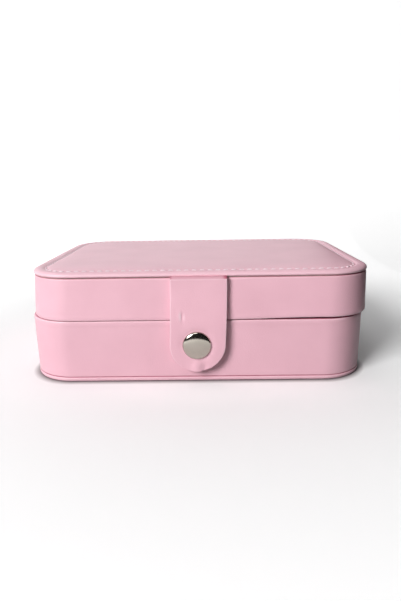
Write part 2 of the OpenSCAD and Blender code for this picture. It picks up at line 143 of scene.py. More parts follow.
class CaseStrap(bpy.types.PropertyGroup):
    """Strap and press stud."""

    front: FloatProperty(
        name="Front leather", description="Thickness of the strap's front leather", unit="LENGTH",
        default=0.9 * MM,
    )
    backing: FloatProperty(
        name="Backing", description="Thickness of the strap's backing", unit="LENGTH",
        default=0.5 * MM,
    )
    recess: FloatProperty(
        name="Recess",
        description="How far the strap is pressed towards the case from its frame's face",
        unit="LENGTH", default=2.7 * MM,
    )
    lean: FloatProperty(
        name="Lean", description="How far the strap's tip hangs to the left of its upper end",
        unit="LENGTH", default=1.2 * MM,
    )


class CaseVelvet(bpy.types.PropertyGroup):
    """Velvet inside the case."""

    colour: FloatVectorProperty(
        name="Velvet colour", description="Colour of the velvet, as linear red, green and blue",
        subtype="COLOR", size=3, min=0, max=1, default=(0.72, 0.42, 0.46),
    )
    rolls: IntProperty(
        name="Ring rolls", description="Number of ring rolls in the bay", min=3, max=7, default=7,
    )


class CaseStage(bpy.types.PropertyGroup):
    """Studio and camera."""

    lens: FloatProperty(
        name="Focal length", description="Focal length of the camera, in millimetres",
        default=28.88,
    )
    distance: FloatProperty(
        name="Camera distance",
        description="Distance from the camera to the middle of the case, front to back",
        unit="LENGTH", default=0.2765,
    )
    side: FloatProperty(
        name="Camera side",
        description="How far the camera stands to the right of the case's middle", unit="LENGTH",
        default=6.1 * MM,
    )
    height: FloatProperty(
        name="Camera height", description="Height of the camera above the floor", unit="LENGTH",
        default=95.2 * MM,
    )
    pitch: FloatProperty(
        name="Camera pitch", description="How far the camera looks down", unit="ROTATION",
        default=math.radians(14.28),
    )
    yaw: FloatProperty(
        name="Camera yaw", description="How far the camera turns to the right", unit="ROTATION",
        default=math.radians(-1.04),
    )
    roll: FloatProperty(
        name="Camera roll", description="How far the camera rolls", unit="ROTATION",
        default=math.radians(-0.95),
    )


GROUPS = {
    "case_leather": CaseLeather,
    "case_stitching": CaseStitching,
    "case_strap": CaseStrap,
    "case_velvet": CaseVelvet,
    "case_stage": CaseStage,
}


# ---- Materials ----


def start_material(name):
    """A material with an empty node tree, its shader and its object coordinates."""
    material = bpy.data.materials.new(name)
    material.use_nodes = True
    tree = material.node_tree
    tree.nodes.clear()
    shader = add_node(tree, "ShaderNodeBsdfPrincipled")
    add_node(tree, "ShaderNodeOutputMaterial", {"Surface": shader.outputs["BSDF"]})
    place = add_node(tree, "ShaderNodeTexCoord").outputs["Object"]
    return material, tree, shader, place


def connect(tree, sockets, values):
    """Links each socket to a value that is a socket, or sets it to one that isn't."""
    for key, value in values.items():
        if isinstance(value, bpy.types.NodeSocket):
            tree.links.new(value, sockets[key])
        else:
            sockets[key].default_value = value


def add_node(tree, kind, inputs=None, **settings):
    """A node of a kind, with its settings, and its inputs set or linked by name or number."""
    made = tree.nodes.new(kind)
    for key, value in settings.items():
        setattr(made, key, value)
    connect(tree, made.inputs, inputs or {})
    return made


def noise_of(tree, place, size, detail=2.0, roughness=0.5):
    """Noise whose blotches are about size across."""
    inputs = {"Vector": place, "Scale": 1 / size, "Detail": detail, "Roughness": roughness}
    return add_node(tree, "ShaderNodeTexNoise", inputs).outputs["Fac"]


def cells_of(tree, place, size):
    """Voronoi cells about size across."""
    inputs = {"Vector": place, "Scale": 1 / size}
    return add_node(tree, "ShaderNodeTexVoronoi", inputs).outputs["Distance"]


def remap(tree, value, low, high, from_low=0.0, from_high=1.0):
    """Value turned from one range into another, and held there."""
    inputs = {0: value, 1: from_low, 2: from_high, 3: low, 4: high}
    return add_node(tree, "ShaderNodeMapRange", inputs).outputs[0]


def mix(tree, share, first, second):
    """First colour where share is 0, second where it is 1."""
    made = add_node(tree, "ShaderNodeMix", data_type="RGBA")
    sockets = {socket.identifier: socket for socket in made.inputs}
    connect(tree, sockets, {"Factor_Float": share, "A_Color": first, "B_Color": second})
    return next(socket for socket in made.outputs if socket.type == "RGBA")


def calculate(tree, operation, *values, kind="ShaderNodeMath"):
    """Result of a maths node on numbers or sockets."""
    node = add_node(tree, kind, dict(enumerate(values)), operation=operation)
    return next(socket for socket in node.outputs if socket.enabled)


def attribute(tree, name):
    """Values of a mesh attribute."""
    return add_node(tree, "ShaderNodeAttribute", attribute_name=name).outputs["Fac"]


def tone(colour, share, towards=(0.0, 0.0, 0.0)):
    """Colour moved by a share towards another, with alpha."""
    return tuple(c + (t - c) * share for c, t in zip(colour, towards)) + (1.0,)


def grey(value):
    """Opaque grey."""
    return (value, value, value, 1.0)


def bump(tree, shader, height, depth, under=None):
    """Bump of a depth in metres on the shader, over an earlier bump."""
    inputs = {"Height": height, "Distance": depth, "Strength": 1.0}
    if under is not None:
        inputs["Normal"] = under
    normal = add_node(tree, "ShaderNodeBump", inputs).outputs["Normal"]
    tree.links.new(normal, shader.inputs["Normal"])
    return normal


def leather_material(name, colour):
    """Soft leather: a very fine grain, faint blotches, pale edges that are wear and painted highlight, and painted
    shade in folds, seams and holes.
    """
    material, tree, shader, place = start_material(name)
    roughness = 0.42
    pale, wear_and_highlight_tone = tone(colour, 0.05, (1, 0.75, 0.82)), tone(colour, 0.55, (1, 0.86, 0.9))
    fold_shade_tone = tone(colour, 0.45, (0.3, 0.1, 0.14))
    painted_shade_tone = tone(colour, 0.95, (0.38, 0.045, 0.1))
    blotch = noise_of(tree, place, 28 * MM, 3.0)
    wear_and_painted_light, painted_shade = attribute(tree, "wear_and_painted_light"), attribute(tree, "painted_shade")
    body = mix(tree, remap(tree, blotch, 0, 1, 0.35, 0.65), tone(colour, 0.05), pale)
    # Pale edges: partly wear, partly painted highlight where the surface stands out.
    body = mix(tree, remap(tree, wear_and_painted_light, 0, 0.8, 0.03, 0.17), body, wear_and_highlight_tone)
    # Painted shade in folds, where the surface sinks in.
    body = mix(tree, remap(tree, wear_and_painted_light, 0, 0.6, -0.03, -0.35), body, fold_shade_tone)
    # Painted shade: seams, edges turned under and needle holes darken towards a deep red.
    body = mix(tree, remap(tree, painted_shade, 0, 0.9), body, painted_shade_tone)
    fine = noise_of(tree, place, 0.9 * MM, 4.0, 0.6)
    gloss = remap(tree, fine, roughness - 0.05, roughness + 0.07, 0.3, 0.7)
    dull = calculate(tree, "MULTIPLY_ADD", painted_shade, 0.5, gloss)
    connect(tree, shader.inputs, {"Base Color": body, "Roughness": dull, "IOR": 1.48})
    rough = bump(tree, shader, cells_of(tree, place, 0.55 * MM), 0.035 * MM)
    bump(tree, shader, fine, 0.03 * MM, under=rough)
    return material


def velvet_material(name, colour):
    """Short-pile velvet: brushed patches, a fine fibre and a soft sheen."""
    material, tree, shader, place = start_material(name)
    brushed = noise_of(tree, place, 16 * MM, 4.0, 0.6)
    pale = tone(colour, 0.14, (1, 0.9, 0.92))
    body = mix(tree, remap(tree, brushed, 0, 1, 0.35, 0.65), tone(colour, 0.14), pale)
    fibre = noise_of(tree, place, 0.35 * MM, 2.0, 0.7)
    body = mix(tree, remap(tree, fibre, 0, 0.3, 0.35, 0.7), body, tone(colour, 0.35))
    connect(tree, shader.inputs, {"Base Color": body, "Roughness": remap(tree, fibre, 0.82, 1.0),
                                  "Sheen Weight": 0.7, "Sheen Roughness": 0.35,
                                  "Specular IOR Level": 0.2})
    bump(tree, shader, fibre, 0.12 * MM)
    return material


def metal_material(name, colour, roughness):
    """Plated metal: bright, with faint clouding and hairline marks."""
    material, tree, shader, place = start_material(name)
    cloud = noise_of(tree, place, 3 * MM, 3.0)
    body = mix(tree, cloud, tone(colour, 0.08), tone(colour, 0.06, (1, 1, 1)))
    stretched = add_node(tree, "ShaderNodeMapping", {"Vector": place, "Scale": (1, 1, 9)})
    marks = noise_of(tree, stretched.outputs[0], 0.6 * MM, 2.0)
    gloss = remap(tree, marks, roughness - 0.04, roughness + 0.06, 0.3, 0.7)
    connect(tree, shader.inputs, {"Base Color": body, "Roughness": gloss, "Metallic": 1.0})
    bump(tree, shader, marks, 0.004 * MM)
    return material


def thread_material(name, colour):
    """Twisted sewing thread with fine fibres."""
    material, tree, shader, place = start_material(name)
    fibre = noise_of(tree, place, 0.15 * MM, 3.0, 0.7)
    slow = noise_of(tree, place, 9 * MM)
    pale = tone(colour, 0.2, (1, 1, 1))
    body = mix(tree, remap(tree, fibre, 0, 1, 0.3, 0.7), tone(colour, 0.12), pale)
    body = mix(tree, remap(tree, slow, 0, 0.2, 0.4, 0.6), body, tone(colour, 0.2))
    connect(tree, shader.inputs, {"Base Color": body, "Roughness": remap(tree, fibre, 0.5, 0.75),
                                  "Sheen Weight": 0.3})
    bump(tree, shader, fibre, 0.06 * MM)
    return material


def board_material(name, colour):
    """Pressed paper board with fibres and specks."""
    material, tree, shader, place = start_material(name)
    fibre = noise_of(tree, place, 0.8 * MM, 5.0, 0.7)
    speck = cells_of(tree, place, 2.2 * MM)
    body = mix(tree, fibre, tone(colour, 0.25), tone(colour, 0.2, (1, 1, 1)))
    body = mix(tree, remap(tree, speck, 0.5, 0, 0.0, 0.12), body, tone(colour, 0.6))
    connect(tree, shader.inputs, {"Base Color": body, "Roughness": remap(tree, fibre, 0.8, 0.95)})
    bump(tree, shader, fibre, 0.08 * MM)
    return material


def foam_material(name, colour):
    """Open-cell foam."""
    material, tree, shader, place = start_material(name)
    cell = cells_of(tree, place, 0.7 * MM)
    body = mix(tree, cell, tone(colour, 0.3), tone(colour, 0.1, (1, 1, 1)))
    connect(tree, shader.inputs, {"Base Color": body, "Roughness": remap(tree, cell, 0.85, 1.0)})
    bump(tree, shader, cell, 0.3 * MM)
    return material


def paper_material(name, size, dark, pale, look):
    """Nearly even paper or felt for the studio, between two colours."""
    material, tree, shader, place = start_material(name)
    body = mix(tree, noise_of(tree, place, size), dark, pale)
    connect(tree, shader.inputs, {"Base Color": body, **look})
    return material


def paint(piece, material):
    """Puts one material on a piece."""
    piece.data.materials.clear()
    piece.data.materials.append(material)


# ---- Mesh helpers ----


def deselect():
    """Leaves every object unselected, in object mode."""
    if bpy.context.mode != "OBJECT":
        bpy.ops.object.mode_set(mode="OBJECT")
    bpy.ops.object.select_all(action="DESELECT")


def only(piece):
    """Selects one object and makes it active."""
    deselect()
    piece.select_set(True)
    bpy.context.view_layer.objects.active = piece


def round_rectangle(middle, width, depth, radius, count):
    """Evenly spaced points and outward normals round a rectangle with round corners.

    They run anticlockwise seen from above, from the middle of the front."""
    flat_x, flat_y, arc = width - 2 * radius, depth - 2 * radius, math.pi * radius / 2
    stretches = []
    heading = Vector((1, 0))
    place = Vector((0, -depth / 2))
    for length in (flat_x / 2, arc, flat_y, arc, flat_x, arc, flat_y, arc, flat_x / 2):
        stretches.append((length, place.copy(), heading.copy()))
        out = Vector((heading.y, -heading.x))
        if length == arc and len(stretches) % 2 == 0:
            place = place - out * radius + heading * radius
            heading = Vector((-heading.y, heading.x))
        else:
            place = place + heading * length
    total = sum(length for length, _, _ in stretches)
    ring = []
    for step in range(count):
        left = total * step / count
        index = 0
        while left > stretches[index][0]:
            left -= stretches[index][0]
            index += 1
        length, start, heading = stretches[index]
        out = Vector((heading.y, -heading.x))
        if index % 2 == 1:
            turn = Matrix.Rotation(left / radius, 2)
            out_here = turn @ out
            point = start - out * radius + out_here * radius
        else:
            out_here = out
            point = start + heading * left
        ring.append((point + Vector(middle), out_here))
    return ring


def circle_ring(radius, count):
    """Points and outward normals round a circle."""
    ring = []
    for step in range(count):
        angle = 2 * math.pi * step / count
        out = Vector((math.cos(angle), math.sin(angle)))
        ring.append((out * radius, out))
    return ring


def soft_profile(corners, closed=False, arc_steps=4, run_step=None):
    """Line through (out, height, radius) corners, rounded at each, with long runs divided."""
    points = []
    count = len(corners)
    for index, (out, height, radius) in enumerate(corners):
        corner = Vector((out, height))
        ends = not closed and index in (0, count - 1)
        if radius <= 0 or ends:
            points.append(corner)
            continue
        before = Vector(corners[index - 1][:2])
        after = Vector(corners[(index + 1) % count][:2])
        start = corner + (before - corner).normalized() * min(radius, (before - corner).length / 2)
        end = corner + (after - corner).normalized() * min(radius, (after - corner).length / 2)
        for step in range(arc_steps + 1):
            t = step / arc_steps
            points.append(start * (1 - t) ** 2 + corner * (2 * t * (1 - t)) + end * t**2)
    if run_step:
        fine = []
        following = points[1:] + points[:1] if closed else points[1:]
        for first, second in zip(points, following):
            parts = max(1, math.ceil((second - first).length / run_step))
            fine += [first.lerp(second, part / parts) for part in range(parts)]
        if not closed:
            fine.append(points[-1])
        points = fine
    return [(p.x, p.y) for p in points]


def just_added(name):
    """The object that an operator has just added, with its name set."""
    piece = bpy.context.active_object
    piece.name = piece.data.name = name
    return piece


def sweep(name, ring, profile, closed=False, capped=False):
    """Extrudes a ring of edges along a profile of (out, height) points, round the ring's outline.

    A closed profile makes a hollow band. A capped one starts and ends with a flat face."""
    deselect()
    bpy.ops.mesh.primitive_circle_add(vertices=len(ring), radius=1, fill_type="NOTHING")
    piece = just_added(name)
    bpy.ops.object.mode_set(mode="EDIT")
    mesh = bmesh.from_edit_mesh(piece.data)
    order = mesh.verts.layers.int.new("order")
    for vert in mesh.verts:
        vert[order] = vert.index
    place_ring(piece, ring, *profile[0])
    if capped:
        bpy.ops.mesh.edge_face_add()
    rest = profile[1:] + profile[:1] if closed else profile[1:]
    for out, height in rest:
        if capped:
            extrude_rim(piece)
        else:
            bpy.ops.mesh.extrude_edges_move()
        place_ring(piece, ring, out, height)
    if capped:
        bpy.ops.mesh.edge_face_add()
    bpy.ops.mesh.select_all(action="SELECT")
    if closed:
        bpy.ops.mesh.remove_doubles(threshold=0.001 * MM)
    bpy.ops.mesh.normals_make_consistent(inside=False)
    bpy.ops.object.mode_set(mode="OBJECT")
    piece.data.attributes.remove(piece.data.attributes["order"])
    bpy.ops.object.shade_smooth()
    return piece


def moulded(name, low, high, radius, count, corners, run_step, closed=False, arc_steps=4):
    """A piece round a box's upright sides: the section that the corners give, swept round them."""
    size, middle = high - low, (high + low) / 2
    ring = round_rectangle(middle.xy, size.x, size.y, radius, count)
    profile = soft_profile(corners, closed, arc_steps, run_step)
    return sweep(name, ring, profile, closed=closed, capped=not closed)


def extrude_rim(piece):
    """Extrudes the selected ring of edges, and not the flat face inside it."""
    mesh = bmesh.from_edit_mesh(piece.data)
    rim = [edge for edge in mesh.edges if edge.select and len(edge.link_faces) < 2]
    for part in (*mesh.faces, *mesh.edges, *mesh.verts):
        part.select = False
    for edge in rim:
        edge.select = True
    bmesh.update_edit_mesh(piece.data)
    bpy.ops.mesh.select_mode(type="EDGE")
    bpy.ops.mesh.extrude_edges_move()


def place_ring(piece, ring, out, height):
    """Moves the selected vertices to the outline, at a distance outside it and a height."""
    mesh = bmesh.from_edit_mesh(piece.data)
    order = mesh.verts.layers.int["order"]
    for vert in mesh.verts:
        if vert.select:
            point, normal = ring[vert[order]]
            flat = point + normal * out
            vert.co = (flat.x, flat.y, height)
    bmesh.update_edit_mesh(piece.data)


def soften(piece, depth, size, seed):
    """Moves a surface in and out by smooth noise, as glued leather lies."""
    offset = Vector((seed, seed * 0.7, seed * 1.3))
    normals = [vert.normal.copy() for vert in piece.data.vertices]
    for vert, normal in zip(piece.data.vertices, normals):
        vert.co += normal * (depth * noise.noise(vert.co / size + offset))
    piece.data.update()


def hump(value, middle, width):
    """1 at the middle, and a smooth fall to 0 on both sides."""
    return math.exp(-(((value - middle) / width) ** 2))


def mark_wear_and_painted_light(piece, gain):
    """Stores how far each vertex stands out from its neighbours, for pale edges that are wear and painted
    highlight, and painted shade in folds.
    """
    mesh = piece.data
    sums = [0.0] * len(mesh.vertices)
    counts = [0] * len(mesh.vertices)
    for edge in mesh.edges:
        first, second = edge.vertices
        way = mesh.vertices[second].co - mesh.vertices[first].co
        if way.length < 1e-9:
            continue
        way.normalize()
        sums[first] -= way.dot(mesh.vertices[first].normal)
        sums[second] += way.dot(mesh.vertices[second].normal)
        counts[first] += 1
        counts[second] += 1
    layer = mesh.attributes.new("wear_and_painted_light", "FLOAT", "POINT")
    layer.data.foreach_set("value", [gain * s / max(1, c) for s, c in zip(sums, counts)])


def copy_of(piece):
    """A copy of a piece with a mesh of its own, in the scene."""
    copy = piece.copy()
    copy.data = piece.data.copy()
    bpy.context.collection.objects.link(copy)
    return copy


def apply_modifiers(piece):
    """Applies every modifier of a piece, in order."""
    only(piece)
    for modifier in list(piece.modifiers):
        bpy.ops.object.modifier_apply(modifier=modifier.name)


def smooth_share(value, low, high):
    """0 below low, 1 above high, and a smooth rise between."""
    t = min(1.0, max(0.0, (value - low) / (high - low)))
    return t * t * (3 - 2 * t)


def at_length(points, length):
    """Place and unit heading on a line of points, at a length along it."""
    left = length
    for first, second in zip(points, points[1:]):
        step = (second - first).length
        if left <= step or second is points[-1]:
            heading = (second - first).normalized()
            return first + heading * left, heading
        left -= step
    raise ValueError("the line has no points")


def lifted(x, place, heading, rise):
    """Point at x beside a place on a line of (y, z) points, moved out from the line by rise."""
    return Vector((x, place.x + heading.y * rise, place.y - heading.x * rise))


def line_length(points):
    """Whole length of a line of points."""
    return sum((b - a).length for a, b in zip(points, points[1:]))


def grid_strip(name, columns, rows, shape):
    """A sheet of columns by rows of faces, each vertex placed by shape(across, along).

    Both run from 0 to 1."""
    deselect()
    bpy.ops.mesh.primitive_grid_add(x_subdivisions=columns, y_subdivisions=rows, size=1)
    piece = just_added(name)
    for vert in piece.data.vertices:
        vert.co = shape(vert.co.x + 0.5, vert.co.y + 0.5)
    piece.data.update()
    return piece


def thicken(piece, depth, edge=0.0):
    """Gives a sheet a thickness behind its face, and rounds its edges."""
    solid = piece.modifiers.new("thickness", "SOLIDIFY")
    solid.thickness = depth
    solid.offset = -1
    if edge > 0:
        round_off = piece.modifiers.new("edge", "BEVEL")
        round_off.width = edge
        round_off.segments = 2
        round_off.limit_method = "ANGLE"
        round_off.angle_limit = math.radians(50)
    apply_modifiers(piece)
    bpy.ops.object.shade_smooth()


# ---- What every piece needs at the end ----

MADE = {}


def shared(name, make, colour):
    """A material that many pieces have, made once."""
    if name not in MADE:
        MADE[name] = make(name, colour)
    return MADE[name]


def dress(piece, material, node_names, body):
    """Material and frame calls. A piece without a body is not attached to one."""
    paint(piece, material)
    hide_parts(*node_names)
    if body:
        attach(piece, body)


def finish_leather(piece, node_names, body, painted_shade=None):
    """Leather, with worn edges, painted highlight and painted shade in folds, which are stronger on the strips
    that bend.

    The last argument gives, for a place, how much painted shade it gets in seams, under edges and in holes, from 0
    to 1."""
    mark_wear_and_painted_light(piece, 1.0 if body else 1.6)
    layer = piece.data.attributes.new("painted_shade", "FLOAT", "POINT")
    if painted_shade:
        layer.data.foreach_set("value", [painted_shade(vert.co) for vert in piece.data.vertices])
    colour = bpy.context.scene.case_leather.colour
    dress(piece, shared("shell_leather", leather_material, colour), node_names, body)


def finish_velvet(piece, node_names, body):
    """Velvet, for pieces that need no marks of wear."""
    colour = bpy.context.scene.case_velvet.colour
    dress(piece, shared("velvet_lining", velvet_material, colour), node_names, body)


# ---- Leather shell ----

FOLD = 2.8 * MM  # width of the leather folded over a rim


class CASE_OT_top_panel(bpy.types.Operator):
    """Padded leather panel on the lid, with a rolled edge and a groove for the stitches"""

    bl_idname = "case.top_panel"
    bl_label = "Top panel"

    def execute(self, context):
        look = context.scene.case_leather
        shift, wider, flat = Vector((0.3 * MM, 0)), 0.9 * MM, -19 * MM
        ring = round_rectangle(TOP_MIDDLE.xy + shift, TOP_SIZE.x + wider, TOP_SIZE.y, look.corner,
                               2 * RING_COUNT)
        top, low, skin, line = TOP_HIGH.z, TOP_LOW.z, look.skin, look.groove
        inside = top - skin + 0.05 * MM
        crown = [(-19, 1), (-16, 0.97), (-13, 0.8), (-10.5, 0.5), (-8.8, 0.2)]
        groove = [(-1.6, -0.06), (-1.0, -0.2), (-0.55, -0.42), (0, -0.52), (0.5, -0.44),
                  (0.95, -0.22), (1.6, -0.04)]
        roll = [(-3.2, 0.06), (-2.3, 0.03), (-1.5, -0.08), (-0.85, -0.3), (-0.35, -0.7),
                (-0.06, -1.2), (0, -1.5), (-0.06, -1.85), (-0.24, -2.14), (-0.55, -2.34),
                (-1.1, -2.45), (-1.7, -2.5)]
        outer = [(out * MM, look.crown * share) for out, share in crown]
        outer += [(out * MM - line, height * MM) for out, height in groove]
        outer += [(out * MM, height * MM) for out, height in roll]
        profile = [(flat, inside), (-2.6 * MM, inside), (-2.6 * MM, low), (-2.2 * MM, low)]
        profile += [(out, top + height) for out, height in reversed(outer)]
        piece = sweep("lid_top_leather", ring, profile, capped=True)
        soften(piece, 0.05 * MM, 22 * MM, 3.0)
        holes = self.needle_holes(context, piece)
        edge = low + 0.5 * MM

        # Painted shade: under the rolled edge, faintly in the stitch groove, and in the needle holes.
        def painted_shade(place):
            under = 1 - smooth_share(place.z, edge - 0.25 * MM, edge + 0.15 * MM)
            if place.z <= low + 1.8 * MM:
                return under
            sunk = 0.12 * smooth_share(top - 0.12 * MM - place.z, 0, 0.35 * MM)
            near = holes.find(place)[2]
            return max(under, sunk, 0.72 * (1 - smooth_share(near, 0.35 * MM, 0.8 * MM)))

        finish_leather(piece, ["lid_top_cover"], "lid", painted_shade=painted_shade)
        return {"FINISHED"}

    def needle_holes(self, context, piece):
        """Presses a small dimple between each two stitches, and returns where they are."""
        spots = stitch_line(context)[0::2]
        holes = KDTree(len(spots))
        floor = TOP_HIGH.z - 0.5 * MM
        for index, (spot, _) in enumerate(spots):
            holes.insert((spot.x, spot.y, floor), index)
        holes.balance()
        for vert in piece.data.vertices:
            if vert.co.z > floor - 0.4 * MM:
                vert.co.z -= 0.42 * MM * hump(holes.find(vert.co)[2], 0, 0.6 * MM)
        piece.data.update()
        return holes


def stitch_line(context):
    """Points and outward normals along the stitches, needle holes and stitch middles in turn."""
    inset = context.scene.case_leather.groove
    pitch = context.scene.case_stitching.pitch
    width, depth = TOP_SIZE.x - 2 * inset, TOP_SIZE.y - 2 * inset
    radius = context.scene.case_leather.corner - 0.4 * MM - inset
    around = 2 * (width + depth) - (8 - 2 * math.pi) * radius
    return round_rectangle(TOP_MIDDLE.xy, width, depth, radius, 2 * round(around / pitch))


class CASE_OT_stitching(bpy.types.Operator):
    """Row of stitches round the top panel, each one arched thread with its ends in the leather"""

    bl_idname = "case.stitching"
    bl_label = "Stitching"

    def execute(self, context):
        thread = context.scene.case_stitching
        line = stitch_line(context)[1::2]
        stitch = self.model_stitch(thread)
        floor = TOP_HIGH.z - 0.36 * MM
        copies = []
        for index, (point, out) in enumerate(line):
            heading = math.atan2(out.x, -out.y)
            wobble = 0.06 * noise.noise(Vector((index * 1.7, 0, 0)))
            copy = copy_of(stitch)
            sunk = 0.2 * MM * smooth_share(abs(out.x), 0.5, 0.95)
            copy.data.transform(Matrix.Translation((point.x, point.y, floor - sunk))
                                @ Matrix.Rotation(heading + wobble, 4, "Z"))
            copies.append(copy)
        bpy.data.objects.remove(stitch)
        deselect()
        for copy in copies:
            copy.select_set(True)
        context.view_layer.objects.active = copies[0]
        bpy.ops.object.join()
        piece = just_added("lid_stitching")
        material = thread_material("stitch_thread", thread.colour)
        dress(piece, material, ["lid_top_stitching"], "lid")
        return {"FINISHED"}

    def model_stitch(self, thread):
        """One arched piece of twisted thread, along X, with its ends turned down."""
        rings, sides = 10, 8
        profile = []
        half, thick = thread.length / 2, thread.thickness / 2
        for step in range(rings + 1):
            along = -half + 2 * half * step / rings
            profile.append((along, thick * (1 - 0.35 * abs(along / half) ** 4)))
        ring = circle_ring(1.0, sides)
        piece = sweep("stitch", ring, [(r - 1, along) for along, r in profile], capped=True)
        for vert in piece.data.vertices:
            across, up, along = vert.co
            share = abs(along / half)
            twist = 1 + 0.12 * math.cos(2 * (math.atan2(up, across) - 5 * along / half))
            drop = 0.7 * MM * share**4
            vert.co = (along, across * twist * 1.1, up * twist + 0.16 * MM - drop)
        return piece


class CASE_OT_lid_band(bpy.types.Operator):
    """Leather round the lid's leaning band, folded under its rim"""

    bl_idname = "case.lid_band"
    bl_label = "Lid band"

    def execute(self, context):
        look = context.scene.case_leather
        size, middle = BAND_HIGH - BAND_LOW, (BAND_HIGH + BAND_LOW) / 2
        lean = (size.x - TOP_SIZE.x) / 2 + 0.4 * MM
        inset = Vector((lean, lean, 0))
        low, top, skin, ridge = BAND_LOW.z, BAND_HIGH.z, look.skin, 2.2 * MM
        corners = [(-0.75 * MM, top + 0.03 * MM, 0.1 * MM), (-0.05 * MM, top - 0.3 * MM, 0.45 * MM),
                   (0.12 * MM, top - ridge, 0.8 * MM),
                   (lean / 2 + 0.1 * MM, (top + low) / 2, 5 * MM),
                   (lean - 0.12 * MM, low + ridge + 0.6 * MM, 0.6 * MM),
                   (lean + 0.02 * MM, low + ridge - 0.3 * MM, 0.5 * MM), (lean, low, look.rim_round),
                   (lean - FOLD, low, 0.3 * MM), (lean - FOLD, low + skin, 0),
                   (lean - skin, low + skin, 0), (-skin, top - 1.2 * MM, 0),
                   (-1.6 * MM, top + 0.03 * MM, 0)]
        piece = moulded("lid_band_leather", BAND_LOW + inset, BAND_HIGH - inset,
                        look.corner - 0.8 * MM, RING_COUNT, corners, 1.6 * MM, closed=True)
        self.lift_corner(piece, middle, size, low)
        soften(piece, 0.06 * MM, 18 * MM, 7.0)

        # Painted shade: under the top panel's edge, and along the lower rim, deeper towards the right.
        def painted_shade(place):
            right = smooth_share(place.x, -10 * MM, 40 * MM)
            above = smooth_share(place.z, top - 0.45 * MM, top - 0.15 * MM)
            return max(above, (1 - smooth_share(place.z, low, low + 0.3 * MM)) * (0.5 + 0.5 * right))

        finish_leather(piece, ["lid_cover"], "lid", painted_shade=painted_shade)
        return {"FINISHED"}

    def lift_corner(self, piece, middle, size, low):
        """Opens the rim towards the front right, lowers the top by the strap, leans the right out."""
        for vert in piece.data.vertices:
            right = smooth_share(vert.co.x - middle.x, 0, size.x * 0.4)
            front = smooth_share(middle.y - vert.co.y, 0, size.y * 0.45)
            near_rim = 1 - smooth_share(vert.co.z, low + 1 * MM, low + 7 * MM)
            gape = hump(vert.co.x - middle.x, size.x * 0.33, 24 * MM)
            vert.co.z += (0.3 * right + 0.45 * gape) * MM * front * near_rim
            strap_side = 1 - smooth_share(abs(vert.co.x - STRAP_ROOT.x), 14 * MM, 30 * MM)
            near_top = smooth_share(vert.co.z, BAND_HIGH.z - 1.6 * MM, BAND_HIGH.z - 0.2 * MM)
            outer = 1 - smooth_share(vert.co.y, BAND_LOW.y + 1.85 * MM, BAND_LOW.y + 2.1 * MM)
            vert.co.z -= (0.3 * strap_side + 0.1 * right) * MM * near_top * outer
            share = max(0, (vert.co.x - middle.x) / (size.x / 2))
            vert.co.x += 0.95 * MM * share * (vert.co.z - low) / (BAND_HIGH.z - low)


class CASE_OT_base_band(bpy.types.Operator):
    """Leather round the base, folded over its rim"""

    bl_idname = "case.base_band"
    bl_label = "Base band"

    def execute(self, context):
        look = context.scene.case_leather
        low, top, skin, ridge = BASE_LOW.z, BASE_HIGH.z, look.skin, 2.4 * MM
        corners = [(-0.05 * MM, low, 0.3 * MM), (0, low + 1.2 * MM, 0.5 * MM),
                   (-0.08 * MM, low + 6 * MM, 3 * MM),
                   (-0.08 * MM, top - ridge - 0.6 * MM, 0.6 * MM),
                   (0.02 * MM, top - ridge + 0.2 * MM, 0.5 * MM),
                   (0, top, look.rim_round), (-FOLD, top, 0.3 * MM), (-FOLD, top - skin, 0),
                   (-skin, top - skin, 0), (-skin, low, 0)]
        piece = moulded("base_band_leather", BASE_LOW, BASE_HIGH, look.corner, RING_COUNT, corners,
                        1.6 * MM, closed=True)
        for vert in piece.data.vertices:
            share = 1 - smooth_share(vert.co.z, low - 4 * MM, top - 8 * MM)
            vert.co.x *= 1 + (0.25 - 0.3 * share) * MM / BASE_HIGH.x
            vert.co.y *= 1 - 0.3 * MM * share / BASE_HIGH.y
        soften(piece, 0.06 * MM, 20 * MM, 11.0)

        # Painted shade: along the bottom edge, and along the top rim, deeper towards the right.
        def painted_shade(place):
            below = 1 - smooth_share(place.z, low + 0.1 * MM, low + 0.35 * MM)
            right = smooth_share(place.x, -10 * MM, 40 * MM)
            return max(below, smooth_share(place.z, top - 0.25 * MM, top) * (0.5 + 0.5 * right))

        finish_leather(piece, ["base_cover"], "base", painted_shade=painted_shade)
        return {"FINISHED"}


class CASE_OT_bottom_panel(bpy.types.Operator):
    """Leather round the bottom board"""

    bl_idname = "case.bottom_panel"
    bl_label = "Bottom panel"

    def execute(self, context):
        look = context.scene.case_leather
        low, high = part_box("bottom_cover")
        skin = look.skin
        corners = [(-19 * MM, skin, 0), (-skin, skin, 0), (-skin, high.z, 0),
                   (-0.15 * MM, high.z, 0.4 * MM), (0.25 * MM, high.z * 0.6, 0.8 * MM),
                   (-0.25 * MM, low.z, 1.2 * MM), (-4 * MM, low.z, 0.5 * MM), (-19 * MM, low.z, 0)]
        piece = moulded("bottom_leather", low, high, look.corner, RING_COUNT, corners, 2.5 * MM)
        for vert in piece.data.vertices:
            vert.co.y *= 1 - 0.25 * MM / BASE_HIGH.y

        # Painted shade: along the top edge under the band, and along the foot at the floor.
        def painted_shade(place):
            return max(smooth_share(place.z, high.z - 0.3 * MM, high.z - 0.1 * MM),
                       0.7 * (1 - smooth_share(place.z, 0.05 * MM, 0.5 * MM)))

        finish_leather(piece, ["bottom_cover"], "base", painted_shade=painted_shade)
        return {"FINISHED"}


# ---- Strap and press stud ----


CAP_DROP = 0.5 * MM  # how far the cap is set below its place in the frame
EDGE_GAP = 0.2 * MM  # by how much the strap is narrower and shorter than its frame, on each side
STRAP_TAIL = 8.8 * MM  # length of strap hidden under the top panel
STRAP_BEND = 2.6 * MM  # length of strap in the bend that follows
TAIL_SHARE, BEND_SHARE, STRAIGHT_SHARE = 0.06, 0.24, 0.72  # where each ends in the mesh's rows


